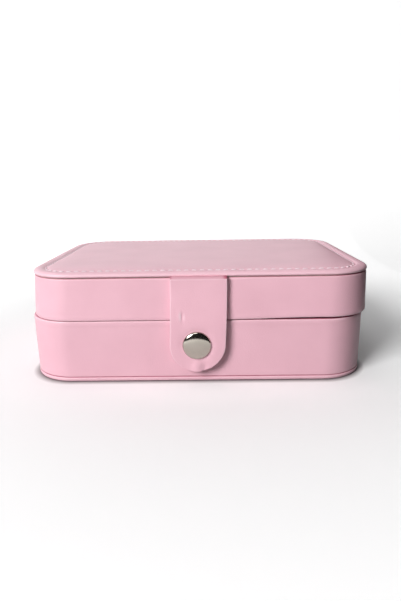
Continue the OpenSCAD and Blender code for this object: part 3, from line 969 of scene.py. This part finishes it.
def strap_path(depth):
    """Line of (y, z) points of the strap at a depth behind its front face, from its tail down."""
    strap = bpy.context.scene.case_strap
    thick = strap.front + strap.backing
    root_y, root_z = STRAP_ROOT.y, STRAP_ROOT.z + 0.3 * MM
    front_y, flat_z = STRAP_LOW.y + strap.recess, CAP_MIDDLE.z + 7.2 * MM
    bend = thick / 2 - depth
    points = [(root_y + 9 * MM, root_z + max(bend, 0.2 * MM))]
    for angle in QUARTER_TURN:
        points.append((root_y - bend * math.sin(angle), root_z + bend * math.cos(angle)))
    hang_y = root_y - bend
    for step in range(1, 25):
        share = step / 24
        z = root_z + (flat_z - root_z) * share
        points.append((hang_y + (front_y + depth - hang_y) * share * share * (3 - 2 * share), z))
    points.append((front_y + depth, STRAP_LOW.z))
    return [Vector(p) for p in points]


def make_strap_layer(name, depth, thickness, inset):
    """One leather layer of the strap: straight sides, a half-round tip, and the marks of use."""
    strap = bpy.context.scene.case_strap
    points = strap_path(depth)
    whole = line_length(points) - inset - EDGE_GAP
    half = (STRAP_HIGH.x - STRAP_LOW.x) / 2 - inset - EDGE_GAP
    middle = (STRAP_HIGH.x + STRAP_LOW.x) / 2
    straight, bent = whole - half, STRAP_TAIL + STRAP_BEND

    def shape(across, along):
        reach = 1.0
        if along <= TAIL_SHARE:
            length = STRAP_TAIL * along / TAIL_SHARE
        elif along <= BEND_SHARE:
            length = STRAP_TAIL + STRAP_BEND * (along - TAIL_SHARE) / (BEND_SHARE - TAIL_SHARE)
        elif along <= STRAIGHT_SHARE:
            length = bent + (straight - bent) * (along - BEND_SHARE) / (STRAIGHT_SHARE - BEND_SHARE)
        else:
            angle = math.radians(87.5) * (along - STRAIGHT_SHARE) / (1 - STRAIGHT_SHARE)
            length, reach = straight + half * math.sin(angle), math.cos(angle)
        place, heading = at_length(points, length)
        side = (across - 0.5) * 2 * half * reach
        rise = strap_marks(side, place.y, half)
        lean = strap.lean * (0.5 - smooth_share(STRAP_ROOT.z - place.y, 0, STRAP_ROOT.z))
        return lifted(middle + side + lean, place, heading, rise)

    piece = grid_strip(name, 44, 110, shape)
    thicken(piece, thickness, 0.28 * MM)
    return piece


def strap_marks(side, z, half):
    """How far the strap's face stands out at a place: a dent, a press round the cap, a tip fold."""
    up = z - CAP_MIDDLE.z + CAP_DROP
    below_root = smooth_share(STRAP_ROOT.z - z, 1 * MM, 6 * MM)
    dent = -0.38 * MM * hump(side, -7.5 * MM, 0.6 * MM) * hump(up, 13.7 * MM, 2.0 * MM)
    pull = 0.16 * MM * hump(side, -8.6 * MM, 0.9 * MM) * hump(up, 14.5 * MM, 2.4 * MM)
    press = -0.22 * MM * hump(math.hypot(side, up), 6.6 * MM, 1.6 * MM)
    fold = 0.5 * hump(side, -0.2 * MM, 2.6 * MM) - 0.3 * hump(side, 3.4 * MM, 2.0 * MM)
    sag = 0.12 * MM * noise.noise(Vector((side / (9 * MM), z / (12 * MM), 4)))
    curl = -0.18 * MM * (side / half) ** 4
    tip = smooth_share(-up, 5 * MM, 11 * MM)
    return below_root * (dent + pull + press + sag + curl) + tip * fold * MM


class CASE_OT_strap(bpy.types.Operator):
    """Strap of two leather layers that comes out under the top panel and bends at its upper end"""

    bl_idname = "case.strap"
    bl_label = "Strap"

    def execute(self, context):
        strap = context.scene.case_strap
        front = make_strap_layer("strap_leather", 0, strap.front, 0)
        back = make_strap_layer("strap_backing", strap.front, strap.backing, 0.25 * MM)
        upper = STRAP_ROOT.z + 0.95 * MM

        # Painted shade: on the bend under the top panel, deeper at the strap's sides.
        def painted_shade(place):
            edges = smooth_share(abs(place.x - STRAP_ROOT.x), 11 * MM, 13 * MM)
            return smooth_share(place.z, upper - 0.3 * MM, upper + 0.1 * MM) * (0.45 + 0.55 * edges)

        finish_leather(front, ["strap_outer", "strap_tail"], None, painted_shade=painted_shade)
        finish_leather(back, ["strap_inner"], None)
        for piece in (front, back):
            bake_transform(piece)
        return {"FINISHED"}


class CASE_OT_press_stud(bpy.types.Operator):
    """Domed cap of the press stud, with a rolled edge, and plated metal on the parts behind it"""

    bl_idname = "case.press_stud"
    bl_label = "Press stud"

    def execute(self, context):
        strap = context.scene.case_strap
        warm = tone(SLOT_COLOURS["snap_nickel"], 0.42, (0.2, 0.11, 0.02))[:3]
        nickel = metal_material("snap_nickel", warm, 0.1)
        radius, rim = (CAP_HIGH.x - CAP_LOW.x) / 2, 0.75 * MM
        height = STRAP_LOW.y - CAP_LOW.y
        dome = [(-radius + 0.2 * MM, height)]
        for angle in QUARTER_TURN[1:]:
            dome.append((-radius + radius * math.sin(angle) * 0.985,
                         rim + (height - rim) * math.cos(angle) ** 0.8))
        edge = [(0, 0.55 * MM), (-0.02 * MM, 0.3 * MM), (-0.2 * MM, 0.02 * MM),
                (-0.7 * MM, -0.12 * MM)]
        under = [(-radius + 1.6 * MM, -0.12 * MM), (-radius + 1.4 * MM, -1.9 * MM),
                 (-radius + 0.2 * MM, -2.2 * MM)]
        piece = sweep("snap_cap_dome", circle_ring(radius, 64), dome + edge + under, capped=True)
        place = (CAP_MIDDLE.x - strap.lean * 0.5, STRAP_LOW.y + strap.recess, CAP_MIDDLE.z - CAP_DROP)
        piece.data.transform(Matrix.Translation(place) @ Matrix.Rotation(math.radians(90), 4, "X"))
        dress(piece, nickel, ["snap_cap"], "strap")
        for name in ("snap_socket", "snap_stud", "snap_post"):
            paint(frame["nodes"][name], nickel)
        steel = metal_material("spring_steel", SLOT_COLOURS["spring_steel"], 0.3)
        paint(frame["nodes"]["snap_spring"], steel)
        return {"FINISHED"}


# ---- Velvet inside ----


def wrapped_board(name, low, high):
    """Upright board wrapped in velvet, with a round top and soft ends."""
    thin = min(high.x - low.x, high.y - low.y)
    corners = [(-thin * 0.3, low.z, 0), (0, low.z, 0.3 * MM), (0, high.z, thin * 0.736),
               (-thin * 0.48, high.z, 0)]
    piece = moulded(name, low, high, thin * 0.42, 320, corners, 1.4 * MM, arc_steps=6)
    soften(piece, 0.12 * MM, 11 * MM, low.x + low.y * 31)
    return piece


class CASE_OT_base_lining(bpy.types.Operator):
    """Velvet on the base's wall and its padded floor"""

    bl_idname = "case.base_lining"
    bl_label = "Base lining"

    def execute(self, context):
        low, top, thick = ROOM_LOW.z, ROOM_HIGH.z, 1 * MM
        inward = (BASE_HIGH.x - BASE_LOW.x - (ROOM_HIGH.x - ROOM_LOW.x)) / 2
        radius = context.scene.case_leather.corner - inward
        corners = [(0, low, 0), (0, top, 0.3 * MM), (-thick, top, 0.5 * MM), (-thick, low, 0)]
        wall = moulded("base_velvet_wall", ROOM_LOW, ROOM_HIGH, radius, WALL_COUNT, corners, 2 * MM,
                       closed=True)
        soften(wall, 0.08 * MM, 16 * MM, 21.0)
        finish_velvet(wall, ["base_wall_lining"], "base")
        low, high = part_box("base_floor_pad")
        corners = [(-12 * MM, low.z, 0), (0, low.z, 0.4 * MM), (0, high.z - 0.1 * MM, 0.9 * MM),
                   (-4 * MM, high.z, 0.5 * MM), (-12 * MM, high.z + 0.1 * MM, 0)]
        pad = moulded("base_velvet_floor", low, high, radius - 1.3 * MM, PAD_COUNT, corners, 1.5 * MM)
        soften(pad, 0.06 * MM, 14 * MM, 5.0)
        finish_velvet(pad, ["base_floor_pad"], "base")
        return {"FINISHED"}


class CASE_OT_dividers(bpy.types.Operator):
    """Velvet-wrapped boards: one fixed beside the ring rolls and two that lift out"""

    bl_idname = "case.dividers"
    bl_label = "Dividers"

    def execute(self, context):
        for node, body in (("fixed_divider", "base"), ("lift_divider_front", "divider_front"),
                           ("lift_divider_rear", "divider_rear")):
            piece = wrapped_board(node + "_velvet", *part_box(node))
            finish_velvet(piece, [node], body)
        return {"FINISHED"}


class CASE_OT_ring_rolls(bpy.types.Operator):
    """Soft velvet rolls side by side, with slots between them for rings"""

    bl_idname = "case.ring_rolls"
    bl_label = "Ring rolls"

    def execute(self, context):
        names = ["ring_roll_%d" % (index + 1) for index in range(context.scene.case_velvet.rolls)]
        middle_low, middle_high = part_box(names[len(names) // 2])
        roll = self.model_roll(middle_low, middle_high)
        for index, name in enumerate(names):
            low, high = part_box(name)
            copy = copy_of(roll)
            copy.name = copy.data.name = name + "_velvet"
            shift = (low.y + high.y - middle_low.y - middle_high.y) / 2
            copy.data.transform(Matrix.Translation((0, shift, 0)))
            soften(copy, 0.35 * MM, 13 * MM, index * 9.0)
            self.keep_inside(copy)
            finish_velvet(copy, [name], "base")
        bpy.data.objects.remove(roll)
        return {"FINISHED"}

    def model_roll(self, low, high):
        """One roll: a tombstone section run along X, then filled out as cloth over foam."""
        wide, tall = high.y - low.y - 0.5 * MM, high.z - low.z - 0.4 * MM
        half = wide / 2
        side = tall - half
        outline = [(-half + wide * step / 6, -side) for step in range(6)]
        outline += [(half, -side + side * step / 5) for step in range(5)]
        for step in range(14):
            angle = math.pi * step / 14
            outline.append((half * math.cos(angle), half * math.sin(angle)))
        outline += [(-half, -side * step / 5) for step in range(5)]
        ring = []
        for index, point in enumerate(outline):
            before, after = Vector(outline[index - 1]), Vector(outline[(index + 1) % len(outline)])
            along = (after - before).normalized()
            ring.append((Vector(point), Vector((along.y, -along.x))))
        corners = [(-5 * MM, low.x, 0), (0, low.x, 3.2 * MM), (0, high.x, 3.2 * MM),
                   (-5 * MM, high.x, 0)]
        profile = soft_profile(corners, arc_steps=5, run_step=2 * MM)
        piece = sweep("ring_roll", ring, profile, capped=True)
        middle_y, middle_z = (low.y + high.y) / 2, low.z + side + 0.2 * MM
        piece.data.transform(Matrix(((0, 0, 1, 0), (1, 0, 0, middle_y), (0, 1, 0, middle_z),
                                     (0, 0, 0, 1))))
        swell(piece, 1.3 * MM, 3.0, 0.7 * MM)
        return piece

    def keep_inside(self, piece):
        """Presses a roll against the lining's walls and round corners."""
        inset = 1.15 * MM
        low, high = ROOM_LOW + Vector((inset, inset, 0)), ROOM_HIGH - Vector((inset, inset, 0))
        radius = 18 * MM
        for vert in piece.data.vertices:
            place = vert.co
            place.x = max(place.x, low.x)
            place.y = min(max(place.y, low.y), high.y - 0.6 * MM)
            corner = Vector((low.x + radius, min(max(place.y, low.y + radius), high.y - radius)))
            if place.x < corner.x:
                way = place.xy - corner
                if way.length > radius:
                    way = way.normalized() * radius
                    place.x, place.y = corner.x + way.x, corner.y + way.y
        piece.data.update()


def swell(piece, voxel, pressure, most):
    """Blows a soft shape out as cloth, no point further than most, and applies the result."""
    only(piece)
    piece.data.remesh_voxel_size = voxel
    bpy.ops.object.voxel_remesh()
    before = [vert.co.copy() for vert in piece.data.vertices]
    cloth = piece.modifiers.new("cloth", "CLOTH")
    cloth.settings.use_pressure = True
    cloth.settings.uniform_pressure_force = pressure
    cloth.settings.effector_weights.gravity = 0
    cloth.settings.mass = 0.3
    cloth.settings.tension_stiffness = 20
    last_frame = 20
    cloth.point_cache.frame_end = last_frame
    for frame_number in range(1, last_frame + 1):
        bpy.context.scene.frame_set(frame_number)
    only(piece)
    bpy.ops.object.modifier_apply(modifier="cloth")
    for vert, start in zip(piece.data.vertices, before):
        move = vert.co - start
        if move.length > most:
            vert.co = start + move.normalized() * most
    bpy.context.scene.frame_set(1)
    smooth = piece.modifiers.new("smooth", "SUBSURF")
    smooth.levels = smooth.render_levels = 1
    apply_modifiers(piece)
    bpy.ops.object.shade_smooth()


class CASE_OT_lid_lining(bpy.types.Operator):
    """Velvet on the lid's wall and ceiling"""

    bl_idname = "case.lid_lining"
    bl_label = "Lid lining"

    def execute(self, context):
        corner = context.scene.case_leather.corner
        low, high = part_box("lid_wall_lining")
        lean = 1.26 * MM * (high.z - low.z) / (BAND_HIGH.z - BAND_LOW.z)
        inward = (BAND_HIGH.x - BAND_LOW.x - (high.x - low.x)) / 2
        corners = [(lean, low.z, 0.3 * MM), (0, high.z, 0), (-1 * MM, high.z, 0),
                   (lean - 1 * MM, low.z, 0.5 * MM)]
        inset = Vector((lean, lean, 0))
        wall = moulded("lid_velvet_wall", low + inset, high - inset, corner - 0.8 * MM - inward,
                       WALL_COUNT, corners, 2 * MM, closed=True)
        soften(wall, 0.08 * MM, 16 * MM, 33.0)
        finish_velvet(wall, ["lid_wall_lining"], "lid")
        low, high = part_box("lid_ceiling_lining")
        corners = [(-14 * MM, low.z - 0.1 * MM, 0), (-3 * MM, low.z, 1 * MM),
                   (0, low.z + 0.1 * MM, 0.6 * MM), (0, high.z, 0.2 * MM), (-14 * MM, high.z, 0)]
        ceiling = moulded("lid_velvet_ceiling", low, high, corner - 4.9 * MM, PAD_COUNT, corners,
                          1.6 * MM)
        soften(ceiling, 0.07 * MM, 15 * MM, 41.0)
        finish_velvet(ceiling, ["lid_ceiling_lining"], "lid")
        return {"FINISHED"}


class CASE_OT_pocket(bpy.types.Operator):
    """Gathered pocket on the lid's ceiling, with an elastic hem along its mouth"""

    bl_idname = "case.pocket"
    bl_label = "Pocket"

    def execute(self, context):
        low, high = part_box("lid_pocket")
        hem_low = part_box("pocket_elastic")[0]
        width, depth = high.x - low.x, high.y - hem_low.y
        ceiling = high.z

        def fold(x, y):
            """Depth of the gathers at a place: fine at the hem and wider towards the seam."""
            share = (y - hem_low.y) / depth
            sway = 1.1 * MM * noise.noise(Vector((x / (9 * MM), share * 2, 1)))
            fine = 0.34 * math.sin(2 * math.pi * (x + sway) / (3.1 * MM)) * (1 - 0.75 * share)
            wide = 0.42 * math.sin(2 * math.pi * (x + 2.2 * sway) / (6.2 * MM) + 0.6)
            return (fine + wide * (0.25 + share) * (1.35 - share)) * MM

        def surface(x, y):
            """Height of the cloth's middle at a place, below the ceiling."""
            u = 2 * (x - low.x) / width - 1
            sides = 1 - abs(u) ** 7
            back = smooth_share(high.y - y, 0, 9 * MM)
            bulge = (1.2 + 0.7 * smooth_share(y, hem_low.y, hem_low.y + 14 * MM)) * MM
            return ceiling - 0.45 * MM - (bulge + fold(x, y)) * sides * back

        def sheet_shape(across, along):
            """Cloth from above the hem to the back seam."""
            x = low.x + width * across
            y = hem_low.y + 2.2 * MM + (high.y - hem_low.y - 2.2 * MM) * along
            return Vector((x, y, surface(x, y)))

        sheet = grid_strip("pocket_velvet", 380, 52, sheet_shape)
        thicken(sheet, 0.5 * MM)
        finish_velvet(sheet, ["lid_pocket"], "lid")

        def hem_shape(across, along):
            """Flat tube of gathered cloth round the elastic."""
            x = low.x + width * across
            angle = 2 * math.pi * along
            shift = 0.5 * MM * noise.noise(Vector((x / (6 * MM), 0, 3)))
            gather = math.sin(2 * math.pi * (x + shift) / (2.6 * MM))
            wide = 2.5 * MM * math.cos(angle) * (0.97 + 0.03 * gather)
            tall = 0.95 * MM * math.sin(angle) * (1 + 0.13 * gather)
            middle_z = ceiling - 1.1 * MM - 1.5 * MM * (1 - abs(2 * across - 1) ** 5)
            return Vector((x, hem_low.y + 2.5 * MM + wide, middle_z + tall))

        hem = grid_strip("pocket_hem", 380, 20, hem_shape)
        close_tube(hem)
        finish_velvet(hem, ["pocket_elastic"], "lid")
        return {"FINISHED"}


def close_tube(piece):
    """Joins the two long edges of a rolled-up grid and closes its ends."""
    only(piece)
    bpy.ops.object.mode_set(mode="EDIT")
    bpy.ops.mesh.select_all(action="SELECT")
    bpy.ops.mesh.remove_doubles(threshold=0.005 * MM)
    bpy.ops.mesh.select_all(action="DESELECT")
    bpy.ops.mesh.select_mode(type="EDGE")
    bpy.ops.mesh.select_non_manifold()
    bpy.ops.mesh.edge_face_add()
    bpy.ops.mesh.select_all(action="SELECT")
    bpy.ops.mesh.normals_make_consistent(inside=False)
    bpy.ops.object.mode_set(mode="OBJECT")
    bpy.ops.object.shade_smooth()


class CASE_OT_hook_strip(bpy.types.Operator):
    """Leather strip on the lid's ceiling that carries the necklace hooks"""

    bl_idname = "case.hook_strip"
    bl_label = "Hook strip"

    def execute(self, context):
        low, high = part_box("hook_strip")
        corners = [(-2.5 * MM, high.z, 0), (0, high.z, 0.15 * MM), (0, low.z + 0.1 * MM, 0.6 * MM),
                   (-1.1 * MM, low.z, 0.3 * MM), (-1.5 * MM, low.z + 0.25 * MM, 0.2 * MM),
                   (-1.9 * MM, low.z, 0.3 * MM), (-2.5 * MM, low.z - 0.02 * MM, 0)]
        piece = moulded("hook_strip_leather", low, high, 1.6 * MM, 400, corners, 0.8 * MM)
        finish_leather(piece, ["hook_strip"], "lid")
        metal = metal_material("hook_metal", SLOT_COLOURS["hook_metal"], 0.2)
        for name in ("necklace_hooks", "hook_rivets"):
            paint(frame["nodes"][name], metal)
        return {"FINISHED"}


# ---- Hinge ----


def hinge_band(name, line, half, middle, thickness, creases):
    """Strip across the hinge along a line of (y, z) points, with thickness and soft creases."""
    points = [Vector(p) for p in line]
    whole = line_length(points)

    def shape(across, along):
        place, heading = at_length(points, whole * along)
        x = middle + (across - 0.5) * 2 * half
        wave = noise.noise(Vector((x / (14 * MM), along * 3, 6)))
        dent = 0.18 * MM * hump((along - 0.5) * whole, 0, 1.3 * MM) * creases
        rise = 0.07 * MM * wave - dent * (0.7 + 0.6 * wave)
        return lifted(x, place, heading, rise)

    piece = grid_strip(name, 90, 40, shape)
    thicken(piece, thickness, 0.2 * MM)
    return piece


class CASE_OT_hinges(bpy.types.Operator):
    """Leather strip outside the hinge and velvet strip inside it, both bent round the hinge"""

    bl_idname = "case.hinges"
    bl_label = "Hinge strips"

    def execute(self, context):
        low, low_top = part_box("hinge_strip_lower")
        up_low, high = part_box("hinge_strip_upper")
        middle, half = (low.x + high.x) / 2, (high.x - low.x) / 2
        line = [(low_top.y, low.z), (low_top.y, HINGE.z - 1.2 * MM), (HINGE.y - 0.15 * MM, HINGE.z),
                (HINGE.y, HINGE.z + 0.9 * MM), (up_low.y + 0.8 * MM, high.z)]
        outside = hinge_band("hinge_leather", line, half, middle, 0.8 * MM, 1)
        finish_leather(outside, ["hinge_strip_lower", "hinge_strip_upper"], None)
        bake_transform(outside)
        low, low_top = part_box("hinge_lining_lower")
        up_low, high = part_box("hinge_lining_upper")
        middle, half = (low.x + high.x) / 2, (high.x - low.x) / 2
        line = [(up_low.y, high.z), (high.y - 0.6 * MM, up_low.z + 0.4 * MM), (low.y, low_top.z),
                (low.y, low.z)]
        inside = hinge_band("hinge_velvet", line, half, middle, 0.6 * MM, -1)
        finish_velvet(inside, ["hinge_lining_lower", "hinge_lining_upper"], None)
        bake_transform(inside)
        return {"FINISHED"}


# ---- Boards and other frame parts that keep their shape ----


class CASE_OT_frame_parts(bpy.types.Operator):
    """Procedural board and foam on the frame's own parts"""

    bl_idname = "case.frame_parts"
    bl_label = "Boards and foam"

    def execute(self, context):
        board = board_material("grey_board", SLOT_COLOURS["greyboard"])
        for name in ("bottom_board", "base_frame", "lid_frame", "lid_top_board"):
            paint(frame["nodes"][name], board)
        paint(frame["nodes"]["lid_top_foam"], foam_material("panel_foam", SLOT_COLOURS["foam"]))
        return {"FINISHED"}


# ---- Studio ----


WALL_Y = 0.75  # distance from the case to the backdrop's wall
LIGHT_DISTANCE = 2.8
LIGHTS = (  # name, degrees round from the front, degrees above the floor, size, power
    ("side", -41, 29, 1.1, 86.0),
    ("high", -20, 60, 1.1, 12.0),
)


class CASE_OT_stage(bpy.types.Operator):
    """White floor and backdrop, soft lights and the camera"""

    bl_idname = "case.stage"
    bl_label = "Studio"

    def execute(self, context):
        self.make_camera(context)
        self.make_bounce()
        self.make_backdrop()
        for light in LIGHTS:
            self.make_light(*light)
        self.make_card()
        self.make_surround()
        world = bpy.data.worlds.new("studio")
        context.scene.world = world
        world.use_nodes = True
        sockets = world.node_tree.nodes["Background"].inputs
        connect(world.node_tree, sockets, {"Color": grey(1), "Strength": 0.02})
        context.scene.view_settings.view_transform = "Standard"
        return {"FINISHED"}

    def make_camera(self, context):
        """Camera in front of the case and above it, looking a little down."""
        look = context.scene.case_stage
        data = bpy.data.cameras.new("camera")
        data.lens = look.lens
        data.sensor_width = 36
        data.clip_start = 0.01
        camera = bpy.data.objects.new("camera", data)
        context.collection.objects.link(camera)
        forward = Vector((math.sin(look.yaw) * math.cos(look.pitch),
                          math.cos(look.yaw) * math.cos(look.pitch), -math.sin(look.pitch)))
        right = Vector((math.cos(look.yaw), -math.sin(look.yaw), 0))
        up = right.cross(forward)
        right, up = (right * math.cos(look.roll) + up * math.sin(look.roll),
                     up * math.cos(look.roll) - right * math.sin(look.roll))
        turn = Matrix((right, up, -forward)).transposed().to_4x4()
        camera.matrix_world = Matrix.Translation((look.side, -look.distance, look.height)) @ turn
        context.scene.camera = camera

    def curved_floor(self, name):
        """Floor that curves up into a wall behind the case."""
        reach, wall, bend = 1.6, 1.4, 0.5
        points = [Vector((-reach, 0)), Vector((WALL_Y - bend, 0))]
        for angle in QUARTER_TURN[1:]:
            points.append(Vector((WALL_Y - bend + bend * math.sin(angle),
                                  bend - bend * math.cos(angle))))
        points.append(Vector((WALL_Y, wall)))
        whole = line_length(points)

        def shape(across, along):
            place, _ = at_length(points, whole * along)
            return Vector(((across - 0.5) * 4, place.x, place.y))

        return grid_strip(name, 2, 120, shape)

    def make_backdrop(self):
        """White paper with painted light: a glow that grows with the distance from the case and fades to the
        right, and a painted contact shadow at the case's foot.
        """
        backdrop = self.curved_floor("studio_backdrop")
        bpy.ops.object.shade_smooth()
        backdrop.visible_diffuse = backdrop.visible_shadow = False
        material, tree, shader, place = start_material("studio_paper_with_painted_light")
        contact = self.contact_shade(tree, place)
        paper = mix(tree, noise_of(tree, place, 0.2), (0.91, 0.91, 0.915, 1), grey(0.94))
        away = calculate(tree, "LENGTH", place, kind="ShaderNodeVectorMath")
        right = add_node(tree, "ShaderNodeSeparateXYZ", {0: place}).outputs["X"]
        # Painted light: the paper glows more away from the case; the factors below dim it towards the right as
        # painted shade and at the foot as a painted contact shadow.
        glow = remap(tree, away, 0.09, 0.44, 0.09, 0.28)
        for factor in (remap(tree, right, 1, 0.68, 0.12, 0.4), contact):
            glow = calculate(tree, "MULTIPLY", glow, factor)
        # Painted contact shadow: the paper darkens to a dark grey-brown at the case's foot.
        connect(tree, shader.inputs, {"Base Color": mix(tree, contact, (0.2, 0.16, 0.17, 1), paper),
                                      "Roughness": 0.85, "Emission Color": grey(1),
                                      "Emission Strength": glow})
        paint(backdrop, material)

    def contact_shade(self, tree, place):
        """Painted contact shadow: 0 on the floor at the foot of the case, and 1 a few millimetres away from it."""
        corner = bpy.context.scene.case_leather.corner
        inner = (BASE_HIGH - BASE_LOW) / 2 - Vector((corner, corner, 0))
        away = place
        for operation, *value in (("ABSOLUTE",), ("SUBTRACT", (inner.x, inner.y, 1)),
                                  ("MAXIMUM", (0, 0, 0)), ("LENGTH",)):
            away = calculate(tree, operation, away, *value, kind="ShaderNodeVectorMath")
        close = remap(tree, away, 0, 0.9, corner - 0.5 * MM, corner + 3.5 * MM)
        soft = remap(tree, away, 0, 0.1, corner, corner + 16 * MM)
        return calculate(tree, "ADD", close, soft)

    def make_bounce(self):
        """Greyer copy of the backdrop, just under it, that only soft bounced light sees."""
        floor = self.curved_floor("studio_bounce")
        floor.data.transform(Matrix.Translation((0, 0.2 * MM, -0.2 * MM)))
        floor.visible_camera = floor.visible_glossy = False
        material, tree, shader, place = start_material("studio_bounce")
        paper = mix(tree, noise_of(tree, place, 0.2), grey(0.44), grey(0.48))
        right = add_node(tree, "ShaderNodeSeparateXYZ", {0: place}).outputs["X"]
        # Darker towards the right, so that less bounced light reaches the case's right side.
        dark = mix(tree, remap(tree, right, 0, 1, -0.03, 0.1), paper, (0.17, 0.165, 0.165, 1))
        connect(tree, shader.inputs, {"Base Color": dark, "Roughness": 0.95})
        paint(floor, material)

    def make_card(self):
        """Black card to the right of the case, out of view, that keeps that side dark."""

        def shape(across, along):
            return Vector((0.2, -0.2 + 0.7 * across, 0.22 * along))

        card = grid_strip("studio_card", 4, 4, shape)
        thicken(card, 2 * MM)
        card.visible_camera = card.visible_shadow = False
        look = {"Roughness": 0.95, "Specular IOR Level": 0.1}
        paint(card, paper_material("studio_card", 2 * MM, grey(0.01), grey(0.02), look))

    def make_surround(self):
        """Pale round wall, seen only by the camera, for views from the sides and the back."""
        deselect()
        bpy.ops.mesh.primitive_cylinder_add(vertices=96, radius=1.55, depth=3,
                                            end_fill_type="NOTHING", location=(0, 0, 1.45))
        bpy.ops.object.transform_apply(location=True)
        wall = just_added("studio_surround")
        wall.visible_diffuse = wall.visible_glossy = wall.visible_shadow = False
        look = {"Roughness": 0.95, "Emission Color": grey(1), "Emission Strength": 0.9}
        paint(wall, paper_material("studio_surround", 0.3, (0.9, 0.9, 0.905, 1), grey(0.93), look))

    def make_light(self, name, around, above, size, power):
        """Square soft light that shines on the case."""
        data = bpy.data.lights.new(name, "AREA")
        data.size = size
        data.energy = power
        light = bpy.data.objects.new(name, data)
        bpy.context.collection.objects.link(light)
        turn, lift = math.radians(around), math.radians(above)
        way = Vector((math.sin(turn) * math.cos(lift), -math.cos(turn) * math.cos(lift),
                      math.sin(lift)))
        light.location = Vector((0, 0, 0.03)) + way * LIGHT_DISTANCE
        light.rotation_euler = way.to_track_quat("Z", "Y").to_euler()


OPERATORS = (
    CASE_OT_top_panel,
    CASE_OT_stitching,
    CASE_OT_lid_band,
    CASE_OT_base_band,
    CASE_OT_bottom_panel,
    CASE_OT_strap,
    CASE_OT_press_stud,
    CASE_OT_hinges,
    CASE_OT_base_lining,
    CASE_OT_dividers,
    CASE_OT_ring_rolls,
    CASE_OT_lid_lining,
    CASE_OT_pocket,
    CASE_OT_hook_strip,
    CASE_OT_frame_parts,
    CASE_OT_stage,
)


class CASE_PT_panel(bpy.types.Panel):
    """Buttons for each piece of the case"""

    bl_idname = "CASE_PT_panel"
    bl_label = "Jewellery case"
    bl_space_type = "VIEW_3D"
    bl_region_type = "UI"
    bl_category = "Jewellery case"

    def draw(self, context):
        layout = self.layout
        for operator in OPERATORS:
            layout.operator(operator.bl_idname)
        for name, group in GROUPS.items():
            box = layout.box()
            for prop in group.__annotations__:
                box.prop(getattr(context.scene, name), prop)


def register():
    """Registers the sizes, the operators and the panel."""
    for name, group in GROUPS.items():
        bpy.utils.register_class(group)
        setattr(bpy.types.Scene, name, PointerProperty(type=group))
    for operator in OPERATORS:
        bpy.utils.register_class(operator)
    bpy.utils.register_class(CASE_PT_panel)


def unregister():
    """Removes what register added."""
    bpy.utils.unregister_class(CASE_PT_panel)
    for operator in reversed(OPERATORS):
        bpy.utils.unregister_class(operator)
    for name, group in GROUPS.items():
        delattr(bpy.types.Scene, name)
        bpy.utils.unregister_class(group)


def main():
    """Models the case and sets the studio."""
    register()
    for operator in OPERATORS:
        group, name = operator.bl_idname.split(".")
        getattr(getattr(bpy.ops, group), name)()


if __name__ == "__main__":
    main()
